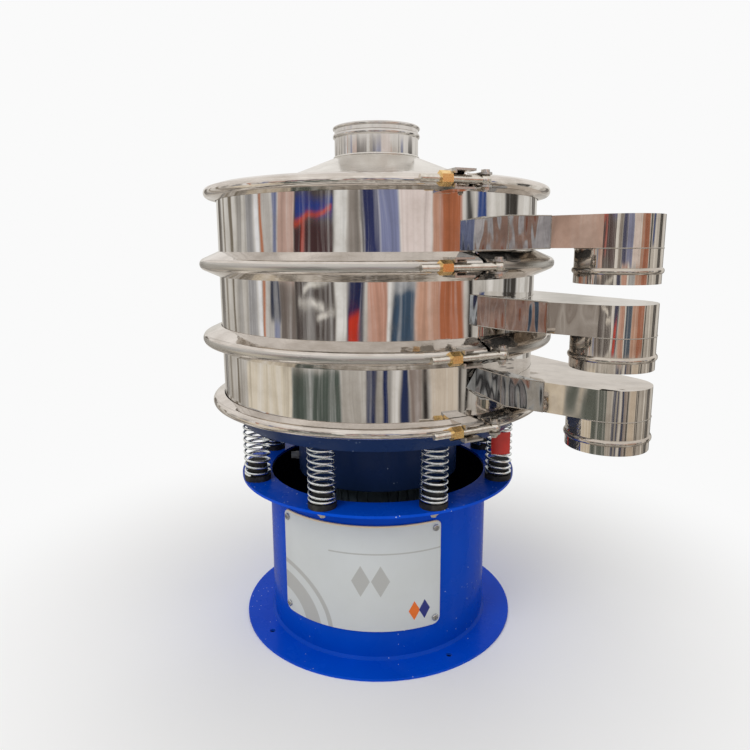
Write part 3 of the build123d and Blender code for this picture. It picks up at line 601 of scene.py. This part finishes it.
def lines_mesh(name, runs):
    """A mesh of bare edges from lists of points."""
    points, edges = [], []
    for run in runs:
        first = len(points)
        points.extend(run)
        edges.extend((first + step, first + step + 1) for step in range(len(run) - 1))
    mesh = bpy.data.meshes.new(name)
    mesh.from_pydata(points, edges, [])
    return mesh


def around(centre, r, z, start, end, count):
    """Points on a level arc between two angles counted from the front."""
    points = []
    for step in range(count + 1):
        angle = radians(start + (end - start) * step / count)
        points.append((centre[0] + r * sin(angle), centre[1] - r * cos(angle), z))
    return points


def beads(name, runs, bead_r, ripple, look, body, finish):
    """Weld beads along runs of points: a round run whose width ripples with each drop."""
    tree, given = tree_of(name, {"Bead Radius": bead_r, "Ripple": ripple}, True)
    value = given.outputs
    curve = add(tree, "GeometryNodeMeshToCurve", {"Mesh": value["Lines"]})
    even = add(tree, "GeometryNodeResampleCurve",
               {"Curve": curve, "Length": BEAD_STEP}, mode="LENGTH")
    along = add(tree, "GeometryNodeSplineParameter").outputs["Length"]
    wave = calc(tree, "MULTIPLY", along, tau / DROP_PITCH)
    wave = calc(tree, "SINE", wave)
    where = add(tree, "GeometryNodeInputPosition")
    wobble = add(tree, NOISE, {"Vector": where, "Scale": 120.0, "Detail": 2.0})
    wobble = calc(tree, "MULTIPLY_ADD", wobble, 0.5, 0.75)
    wide = calc(tree, "MULTIPLY_ADD", wave, value["Ripple"], wobble)
    scaled = add(tree, "GeometryNodeSetCurveRadius", {"Curve": even, "Radius": wide})
    section = add(tree, "GeometryNodeCurvePrimitiveCircle",
                  {"Resolution": BEAD_SIDES, "Radius": value["Bead Radius"]})
    body_mesh = add(tree, "GeometryNodeCurveToMesh",
                    {"Curve": scaled, "Profile Curve": section, "Scale": wide, "Fill Caps": True})
    made = grown(name, tree, body_mesh, look, lines_mesh(name + "_lines", runs))
    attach(made, body)
    return made


def coil_springs():
    """Eight coil springs: a dead coil at each end, even coils between them, and a cut wire end."""
    tree, given = tree_of("coil springs", {
        "Circle Radius": SPRING_CIRCLE_R, "First Angle": radians(SPRING_FIRST_ANGLE),
        "Wire Radius": SPRING_WIRE_R, "Coil Radius": SPRING_MIDDLE_R, "Turns": SPRING_TURNS,
        "Height": SPRING_H, "Low": SPRING_LOW_Z})
    value = given.outputs
    spiral = add(tree, "GeometryNodeCurveSpiral", {
        "Resolution": SPRING_TURN_STEPS, "Rotations": value["Turns"],
        "Start Radius": value["Coil Radius"], "End Radius": value["Coil Radius"], "Height": 1.0})
    along = add(tree, "GeometryNodeSplineParameter").outputs["Factor"]
    turns = calc(tree, "MULTIPLY", along, value["Turns"])
    wire = calc(tree, "MULTIPLY", value["Wire Radius"], 2.0)
    first = calc(tree, "MINIMUM", turns, SPRING_DEAD_COILS)
    last_start = calc(tree, "SUBTRACT", value["Turns"], SPRING_DEAD_COILS)
    last = calc(tree, "SUBTRACT", turns, last_start)
    last = calc(tree, "MAXIMUM", last, 0.0)
    dead = calc(tree, "ADD", first, last)
    active = calc(tree, "SUBTRACT", turns, dead)
    inner = calc(tree, "SUBTRACT", value["Turns"], 2 * SPRING_DEAD_COILS)
    closed = calc(tree, "MULTIPLY", wire, 2 * SPRING_DEAD_COILS + 1.0)
    free = calc(tree, "SUBTRACT", value["Height"], closed)
    pitch = calc(tree, "DIVIDE", free, inner)
    rise = calc(tree, "ADD", calc(tree, "MULTIPLY", dead, wire),
                calc(tree, "MULTIPLY", active, pitch))
    rise = calc(tree, "ADD", rise, value["Wire Radius"])
    where = add(tree, "GeometryNodeInputPosition")
    apart = add(tree, "ShaderNodeSeparateXYZ", {0: where})
    placed = add(tree, "ShaderNodeCombineXYZ",
                 {"X": apart.outputs[0], "Y": apart.outputs[1], "Z": rise})
    coil = add(tree, "GeometryNodeSetPosition", {"Geometry": spiral, "Position": placed})
    section = add(tree, "GeometryNodeCurvePrimitiveCircle",
                  {"Resolution": SPRING_SIDES, "Radius": value["Wire Radius"]})
    body = add(tree, "GeometryNodeCurveToMesh",
               {"Curve": coil, "Profile Curve": section, "Fill Caps": True})
    ring = add(tree, "GeometryNodeMeshCircle",
               {"Vertices": SPRING_COUNT, "Radius": value["Circle Radius"]})
    facing = add(tree, "ShaderNodeCombineXYZ", {"Z": value["First Angle"]})
    lift = add(tree, "ShaderNodeCombineXYZ", {"Z": value["Low"]})
    ring = add(tree, "GeometryNodeTransform",
               {"Geometry": ring, "Translation": lift, "Rotation": facing})
    spun = add(tree, "FunctionNodeRandomValue",
               {"Min": 0.0, "Max": tau, "Seed": 4}, data_type="FLOAT")
    twist = add(tree, "ShaderNodeCombineXYZ", {"Z": spun})
    springs = add(tree, "GeometryNodeInstanceOnPoints",
                  {"Points": ring, "Instance": body, "Rotation": twist})
    made = grown("coil_springs", tree, springs, SPRING)
    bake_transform(made)
    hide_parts(*[f"spring_{index}" for index in range(1, SPRING_COUNT + 1)])
    return made


coil_springs()


def upper_screen_wires():
    """The upper screen: crossed wires stretched across its edge ring, each bent up and down from
    mesh to mesh. Their ends lie inside the ring."""
    tree, given = tree_of("upper screen", {"Screen Radius": SCREEN_R, "Pitch": SCREEN_PITCH,
                                           "Wire Radius": SCREEN_WIRE_R,
                                           "Ring Radius": SCREEN_RING_R})
    value = given.outputs
    middle = sum(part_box("upper_screen")[end].z for end in (0, 1)) / 2
    count = int(2 * SCREEN_R / SCREEN_PITCH)
    half = count * SCREEN_PITCH / 2
    line = add(tree, "GeometryNodeCurvePrimitiveLine",
               {"Start": (-half, 0, 0), "End": (half, 0, 0)})
    points = add(tree, "GeometryNodeResampleCurve", {"Curve": line, "Count": count + 1})
    rows = add(tree, "GeometryNodeMeshLine",
               {"Count": count + 1, "Start Location": (0, -half, 0),
                "Offset": (0, SCREEN_PITCH, 0)})
    laid = add(tree, "GeometryNodeInstanceOnPoints", {"Points": rows, "Instance": points})
    laid = add(tree, "GeometryNodeRealizeInstances", {"Geometry": laid})
    where = add(tree, "GeometryNodeInputPosition")
    apart = add(tree, "ShaderNodeSeparateXYZ", {0: where})
    cells = calc(tree, "ADD", apart.outputs[0], apart.outputs[1])
    cells = calc(tree, "DIVIDE", cells, value["Pitch"])
    cells = calc(tree, "ROUND", cells)
    odd = calc(tree, "PINGPONG", cells, 1.0)
    over = calc(tree, "MULTIPLY_ADD", odd, 2.0, -1.0)
    lift = calc(tree, "MULTIPLY", over, value["Wire Radius"])
    raised = add(tree, "ShaderNodeCombineXYZ", {"Z": lift})
    woven = add(tree, "GeometryNodeSetPosition", {"Geometry": laid, "Offset": raised})
    away = add(tree, "ShaderNodeVectorMath", {0: where}, operation="LENGTH").outputs["Value"]
    outside = add(tree, "FunctionNodeCompare", {"A": away, "B": value["Screen Radius"]},
                  data_type="FLOAT", operation="GREATER_THAN")
    trimmed = add(tree, "GeometryNodeDeleteGeometry",
                  {"Geometry": woven, "Selection": outside}, domain="POINT")
    section = add(tree, "GeometryNodeCurvePrimitiveCircle",
                  {"Resolution": SCREEN_WIRE_SIDES, "Radius": value["Wire Radius"]})
    one_way = add(tree, "GeometryNodeCurveToMesh", {"Curve": trimmed, "Profile Curve": section})
    other_way = add(tree, "GeometryNodeTransform",
                    {"Geometry": one_way, "Rotation": (0.0, 0.0, pi / 2),
                     "Scale": (1.0, 1.0, -1.0)})
    rim = add(tree, "GeometryNodeCurvePrimitiveCircle",
              {"Resolution": SCREEN_RING_STEPS, "Radius": value["Ring Radius"]})
    bar = add(tree, "GeometryNodeCurvePrimitiveQuadrilateral",
              {"Width": SCREEN_RING_W, "Height": SCREEN_RING_H})
    edge = add(tree, "GeometryNodeCurveToMesh", {"Curve": rim, "Profile Curve": bar})
    both = add(tree, "GeometryNodeJoinGeometry")
    for part in (one_way, other_way, edge):
        tree.links.new(part.outputs[0], both.inputs[0])
    level = add(tree, "GeometryNodeTransform",
                {"Geometry": both, "Translation": (0.0, 0.0, middle)})
    made = grown("upper_screen_wires", tree, level, COARSE_WIRE)
    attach(made, "screen_body")
    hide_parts("upper_screen")
    return made


upper_screen_wires()


def between_points(pairs, x):
    """The value at x on a bent line given as (x, value) pairs."""
    for (x0, value0), (x1, value1) in zip(pairs, pairs[1:]):
        if x <= x1:
            break
    return value0 + (value1 - value0) * (x - x0) / (x1 - x0)


def hood_runs(place):
    """Weld runs of a hood: its edges on the frame and on its front, and its upright seams."""
    def front(x):
        bend = HOOD_BEND[place]
        share = (x - bend[0]) / (HOOD_CORNER[0] - bend[0])
        return bend[1] + (HOOD_CORNER[1] - bend[1]) * share

    runs = []
    for pairs in (HOOD_LOW[place], HOOD_HIGH[place]):
        start = pairs[0][0]
        steps = [start + (HOOD_FRAME_END - start) * step / HOOD_FRAME_STEPS
                 for step in range(HOOD_FRAME_STEPS + 1)]
        runs.append([(x, -(FRAME_R ** 2 - x ** 2) ** 0.5, between_points(pairs, x)) for x in steps])
        start = max(start, HOOD_BEND[place][0])
        steps = [start + (HOOD_CORNER[0] - start) * step / HOOD_FRONT_STEPS
                 for step in range(HOOD_FRONT_STEPS + 1)]
        runs.append([(x, front(x), between_points(pairs, x)) for x in steps])
    for x in (HOOD_SEAM[place], HOOD_CORNER[0]):
        low = between_points(HOOD_LOW[place], x) + HOOD_BEAD_IN
        high = between_points(HOOD_HIGH[place], x) - HOOD_BEAD_IN
        runs.append([(x, front(x), low), (x, front(x), high)])
    return runs


def welds():
    """Bright welds where the outlets and the collar join, and the painted weld of the base."""
    runs = []
    for place in ("lower", "middle", "upper"):
        low, high = (corner.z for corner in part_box(f"{place}_outlet"))
        middle = [sum(corner[axis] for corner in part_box(f"{place}_spout")) / 2 for axis in (0, 1)]
        for z in (low + DUCT_BEAD_IN, high - DUCT_BEAD_IN):
            runs.append(around((0, 0), FRAME_R, z, DUCT_START, DUCT_END, DUCT_STEPS))
        runs.append(around(middle, SPOUT_R, low - SPOUT_BEAD_DOWN, 0, 360, SPOUT_STEPS))
        runs.extend(hood_runs(place))
    beads("outlet_welds", runs, *OUTLET_BEAD, WELD, "screen_body", "polished_stainless")
    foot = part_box("inlet_collar")[0].z + COLLAR_BEAD_UP
    beads("collar_weld", [around((0, 0), INLET_R, foot, 0, 360, COLLAR_STEPS)], *COLLAR_BEAD,
          COVER, "screen_body", "polished_stainless")
    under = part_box("base_top_ring")[0].z - BASE_BEAD_DOWN
    beads("base_ring_weld", [around((0, 0), BASE_R, under, 0, 360, BASE_STEPS)], *BASE_BEAD,
          BLUE, "base", "blue_paint")


welds()


def rod_threads(ring):
    """The rolled thread on a latch rod, from its tail to past the nut."""
    low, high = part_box(f"latch_nut_{ring}")
    nut = (low + high) / 2
    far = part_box(f"swing_bolt_{ring}")[1]
    eye = Vector((far.x - EYE_R, far.y - EYE_R, nut.z))
    way = (nut - eye).normalized()
    reach = (nut - eye).length + BRASS_H / 2 + ROD_TAIL - THREAD_END_GAP
    start = (nut - eye).length - THREAD_BEFORE_NUT
    tree, given = tree_of(f"rod thread {ring}", {
        "Rod Radius": ROD_R, "Pitch": THREAD_PITCH, "Depth": THREAD_DEPTH,
        "Length": reach - start})
    value = given.outputs
    turns = calc(tree, "DIVIDE", value["Length"], value["Pitch"])
    spiral = add(tree, "GeometryNodeCurveSpiral", {
        "Resolution": THREAD_TURN_STEPS, "Rotations": turns, "Start Radius": value["Rod Radius"],
        "End Radius": value["Rod Radius"], "Height": value["Length"]})
    section = add(tree, "GeometryNodeCurvePrimitiveCircle",
                  {"Resolution": THREAD_SIDES, "Radius": value["Depth"]})
    ridge = add(tree, "GeometryNodeCurveToMesh",
                {"Curve": spiral, "Profile Curve": section, "Fill Caps": True})
    made = grown(f"rod_thread_{ring}", tree, ridge, LATCH)
    facing = way.to_track_quat("Z", "Y").to_matrix().to_4x4()
    made.data.transform(Matrix.Translation(eye + way * start) @ facing)
    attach(made, f"latch_{ring}")
    return made


for ring in range(1, LATCH_COUNT + 1):
    rod_threads(ring)


# What the polished sheet mirrors. LEVELS are level bands as (from, to, colour), in degrees up
# from the horizon. PANELS are upright panels as (from, to, bottom, top, slant, colour): the first
# two are degrees from the front towards +X, and slant is how much the edges rise with each degree.
LEVELS = (
    (-78, -66, "5A544E"), (-61, -54, "F4F1EB"), (-50, -45, "45403B"), (-42, -37, "EFEAE1"),
    (-33, -30, "5F5851"), (17, 20, "C4BFB8"), (24, 28, "FBF9F5"), (31, 35, "BDB9B3"),
    (42, 52, "FBFAF8"), (56, 59, "C9C6C1"), (66, 80, "FFFFFF"))
PANELS = (
    (-149, -141, -60, 30, 0, "6B645B"), (-135, -131, -30, 30, 0, "A8A093"),
    (-121, -117, -60, 30, 0, "8A8173"), (-112, -107, -9, 30, 0, "A5A19B"),
    (-106, -62, -34, -10, 0, "E8DDC9"), (-101, -92, -9, 30, 0, "A9A8A9"),
    (-91, -87, -9, 40, 0, "FBFCFF"), (-86, -83.5, -9, 24, 0, "C9805C"),
    (-83, -76, -9, 24, 0, "CFCBC6"), (-75, -71, -9, 16, 0, "2C4587"),
    (-70, -57, -3, 9, 0, "D0B0A3"), (-70, -57, -9, -3, 0, "857B75"),
    (-57, -28, -9, 9, 0, "5B5350"), (-56, -28, 2.5, 4.3, 0, "34468F"),
    (-56, -28, -1.2, 1.9, 0, "4F3839"), (-57, -29, 1.9, 2.4, 0.042, "CF5238"),
    (-51, -49.4, -0.8, 2.3, 0, "BE4A36"), (-78, -70, -6.5, -2.6, 0, "3A3F50"),
    (-62, -24, -34, -11, 0, "59625B"), (-54, -38, -5.0, -4.4, -0.05, "F2EEE6"),
    (-50, -30, -4.0, -3.4, 0.05, "E9E5DC"), (-44, -28, -6.4, -6.0, 0.02, "EDE8DF"),
    (-27, -20, -9, 40, 0, "F5F4F1"), (-19, -12, -2, 9, 0, "9C948D"),
    (-19, -10, -9.8, -2, 0, "2B3158"), (-18, -12, -9.8, -6.2, 0, "D2412F"),
    (-11, -9, -9, 12, 0, "4A4650"), (-9, 3, -1.6, 9, 0, "353B66"), (-7, -1, -18, -9.8, 0, "222B50"),
    (-6, 6, -9.6, -1.6, 0, "D3A18C"), (3, 14, -1.6, 9, 0, "8C92B6"),
    (6, 9, -9.6, -1.6, 0, "F5F3F0"), (9, 27, -9.6, -4, 0, "45596F"),
    (9, 27, -4, -1.6, 0, "B9BCC0"),
    (3, 7, -22, -10, 0, "24305C"), (9, 16, -20, -10, 0, "DEDAD4"), (17, 22, -22, -10, 0, "2F3A60"),
    (23, 31, -22, -10, 0, "94857D"), (32, 34.5, -26, -10, 0, "332E2C"),
    (15, 38, -1.6, 40, 0, "F2E4DF"), (27, 40, -9.6, -1.6, 0, "D5A78F"),
    (39, 45, -9.6, 8, 0, "CB9B83"), (45, 61, -9.6, 7, 0, "B8704F"),
    (36, 57, -26, -10, 0, "D8CAB8"), (57.5, 59.5, -26, -10, 0, "3F3833"),
    (63, 66, -34, 12, 0, "2A2724"), (71, 80, 0, 9, 0, "3B5390"), (84, 88, -34, 30, 0, "F2EFEA"),
    (98, 112, -50, 9, 0, "4A4743"), (118, 130, -20, 20, 0, "EDEBE6"),
    (138, 150, -50, 6, 0, "6B655E"), (168, 186, -30, 4, 0, "8A857C"))
LEVEL_SOFT = 1.2
PANEL_SOFT = 1.1
# How far slow noise bends the panels and the bands, in degrees.
PANEL_SWAY = 14.0
LEVEL_SWAY = 1.5
# The tone behind them: the lowest colour, then how it climbs, as (from, to, colour).
LOWEST = "A79F94"
CLIMBS = ((-30.0, 12.0, "E2DFD9"), (12.0, 34.0, "F3F1EE"))
# A lit ceiling in front, brighter than white, as (from, to) and the turn over which it fades.
GLARE_RISE = (37.0, 44.0)
GLARE_SOFT = 3.0
GLARE_FADE = (60.0, 110.0)
GLARE_LIGHT = (2.0, 1.97, 1.92, 1.0)
# Narrow upright streaks: how fast they change with each degree of turn and of rise.
STREAK_TURN = 0.17
STREAK_RISE = 0.016
# Pale haze above this rise, and how thick it is.
HAZE_RISE = (7.0, 10.0)
HAZE = 0.74
# The matt pieces' light: pale, and greyer to the sides and the back, low down.
SIDE_TURN = (40.0, 100.0)
SIDE_RISE = (15.0, 60.0)

# Three soft square lamps as (name, place, watts), all turned to the machine's middle.
LAMPS = (("key", (-1.7, -2.1, 2.6), 34.0), ("fill", (2.2, -1.6, 2.0), 7.0),
         ("back", (0.6, 2.6, 2.4), 18.0))
LAMP_AIM = (0.0, 0.0, 0.5)
LAMP_SIZE = 1.6
# The floor is painted near-black under the base as painted shadow, and fades into the backdrop
# between two distances.
FLOOR_REACH = 30.0
FLOOR_PAINTED_SHADOW_R = (0.268, 0.274)
FLOOR_FADE_R = (0.3, 1.1)

# The camera that fits the photograph: its pitch and roll are radians, its lens is in millimetres.
CAMERA_SPOT = (0.0, -1.2624, 0.746)
CAMERA_PITCH = -0.1877
CAMERA_ROLL = -0.0045
LENS = 30.56
SENSOR_W = 36.0
LENS_SHIFT = (-0.0031, -0.0107)


def studio():
    """An even pale studio. Only shine sees the upright panels and level bands that stand in it;
    they give the polished sheet its streaks, and light nothing."""
    world = bpy.data.worlds.new("studio")
    bpy.context.scene.world = world
    world.use_nodes = True
    tree = world.node_tree
    tree.nodes.clear()
    way = add(tree, "ShaderNodeTexCoord").outputs["Generated"]
    apart = add(tree, "ShaderNodeSeparateXYZ", {0: way})
    turned = calc(tree, "ARCTAN2", apart.outputs[0], calc(tree, "MULTIPLY", apart.outputs[1], -1.0))
    turned = calc(tree, "MULTIPLY", turned, 180 / pi)
    rise = calc(tree, "ARCSINE", apart.outputs[2])
    rise = calc(tree, "MULTIPLY", rise, 180 / pi)
    sway = add(tree, NOISE, {"Vector": way, "Scale": 3.2, "Detail": 1.5})
    sway = calc(tree, "SUBTRACT", sway, 0.5)
    sway = calc(tree, "MULTIPLY", sway, PANEL_SWAY)
    turned = calc(tree, "ADD", turned, sway)
    lift = add(tree, NOISE, {"Vector": way, "Scale": 5.0, "Detail": 1.0})
    lift = calc(tree, "SUBTRACT", lift, 0.5)
    lift = calc(tree, "MULTIPLY", lift, LEVEL_SWAY)
    rise = calc(tree, "ADD", rise, lift)

    def between(value, start, end, soft):
        half = (end - start) / 2
        off = calc(tree, "SUBTRACT", value, (start + end) / 2)
        off = calc(tree, "ABSOLUTE", off)
        return add(tree, RANGE, (off, half - soft, half + soft, 1.0, 0.0), **SMOOTH)

    shine = rgb(LOWEST)
    for low, high, shade in CLIMBS:
        climb = add(tree, RANGE, (rise, low, high), **SMOOTH)
        shine = mix(tree, climb, shine, rgb(shade))
    for low, high, shade in LEVELS:
        shine = mix(tree, between(rise, low, high, LEVEL_SOFT), shine, rgb(shade))
    glare = between(rise, *GLARE_RISE, GLARE_SOFT)
    off_front = calc(tree, "ABSOLUTE", turned)
    ahead = add(tree, RANGE, (off_front, *GLARE_FADE, 1.0, 0.0), **SMOOTH)
    glare = calc(tree, "MULTIPLY", glare, ahead)
    shine = mix(tree, glare, shine, GLARE_LIGHT)
    for start, end, low, high, slant, shade in PANELS:
        level = rise
        if slant:
            level = calc(tree, "SUBTRACT", turned, start)
            level = calc(tree, "MULTIPLY_ADD", level, -slant, rise)
        inside = calc(tree, "MULTIPLY", between(turned, start, end, PANEL_SOFT),
                      between(level, low, high, min(0.5, (high - low) / 4)))
        shine = mix(tree, inside, shine, rgb(shade))
    drawn = add(tree, "ShaderNodeCombineXYZ", {"X": calc(tree, "MULTIPLY", turned, STREAK_TURN),
                                               "Y": calc(tree, "MULTIPLY", rise, STREAK_RISE)})
    streak = add(tree, NOISE, {"Vector": drawn, "Scale": 1.0, "Detail": 5.0, "Roughness": 0.68})
    for full, shade in ((0.72, "2F2B29"), (0.3, "FBFAF8")):
        shine = mix(tree, add(tree, RANGE, (streak, 0.5, full, 0.0, 0.5)), shine, rgb(shade))
    haze = calc(tree, "MULTIPLY", add(tree, RANGE, (rise, *HAZE_RISE)), HAZE)
    shine = mix(tree, haze, shine, rgb("F2EEEA"))
    aside = add(tree, RANGE, (off_front, *SIDE_TURN), **SMOOTH)
    low_down = add(tree, RANGE, (rise, *SIDE_RISE, 1.0, 0.0), **SMOOTH)
    aside = calc(tree, "MULTIPLY", aside, low_down)
    soft = mix(tree, aside, rgb("DEDCD8"), rgb("85898F"))
    ray = add(tree, "ShaderNodeLightPath").outputs
    seen = mix(tree, ray["Is Glossy Ray"], soft, shine)
    seen = mix(tree, ray["Is Camera Ray"], seen, rgb("FAFAFA"))
    back = add(tree, "ShaderNodeBackground", {"Color": seen, "Strength": 1.0})
    add(tree, "ShaderNodeOutputWorld", {"Surface": back})


studio()


def floor_and_lamps():
    """A pale floor, painted near-black under the base as painted shadow, that fades into the
    backdrop, and three soft lamps.
    """
    mesh = bpy.data.meshes.new("floor")
    mesh.from_pydata([(x * FLOOR_REACH, y * FLOOR_REACH, 0)
                      for x, y in ((-1, -1), (1, -1), (1, 1), (-1, 1))], [], [(0, 1, 2, 3)])
    floor = bpy.data.objects.new("floor", mesh)
    bpy.context.scene.collection.objects.link(floor)
    floor_look, tree, shader = material("floor_pale")
    grain = add(tree, NOISE, {"Vector": places(tree), "Scale": 3.0, "Detail": 3.0})
    away = round_places(tree)[1]
    pale = mix(tree, grain, rgb("F6F6F6"), rgb("F2F2F2"))
    # Near-black under the base: painted shadow, seen through the flange's holes.
    under = add(tree, RANGE, (away, *FLOOR_PAINTED_SHADOW_R))
    matt = add(tree, "ShaderNodeBsdfDiffuse", {"Color": mix(tree, under, rgb("101010"), pale)})
    glow = add(tree, "ShaderNodeEmission", {"Color": rgb("FAFAFA"), "Strength": 1.0})
    fade = add(tree, RANGE, (away, *FLOOR_FADE_R), **SMOOTH)
    far = add(tree, "ShaderNodeMixShader", {0: fade, 1: matt, 2: glow})
    out = shader.outputs[0].links[0].to_node
    tree.links.new(far.outputs[0], out.inputs["Surface"])
    tree.nodes.remove(shader)
    mesh.materials.append(floor_look)
    floor.visible_glossy = False

    for name, spot, power in LAMPS:
        lamp = bpy.data.lights.new(name, "AREA")
        lamp.energy = power
        lamp.size = LAMP_SIZE
        holder = bpy.data.objects.new(name, lamp)
        bpy.context.scene.collection.objects.link(holder)
        holder.location = spot
        holder.visible_glossy = False
        way = Vector(LAMP_AIM) - Vector(spot)
        holder.rotation_euler = way.to_track_quat("-Z", "Y").to_euler()


floor_and_lamps()


def camera():
    """The photograph's viewpoint."""
    lens = bpy.data.cameras.new("camera")
    lens.lens = LENS
    lens.sensor_width = SENSOR_W
    lens.shift_x, lens.shift_y = LENS_SHIFT
    lens.clip_start = 0.01
    lens.clip_end = 100.0
    holder = bpy.data.objects.new("camera", lens)
    bpy.context.scene.collection.objects.link(holder)
    pitch = Matrix.Rotation(pi / 2 + CAMERA_PITCH, 4, "X")
    roll = Matrix.Rotation(CAMERA_ROLL, 4, "Z")
    holder.matrix_world = Matrix.Translation(CAMERA_SPOT) @ pitch @ roll
    bpy.context.scene.camera = holder


camera()
bpy.context.scene.view_settings.view_transform = "Standard"
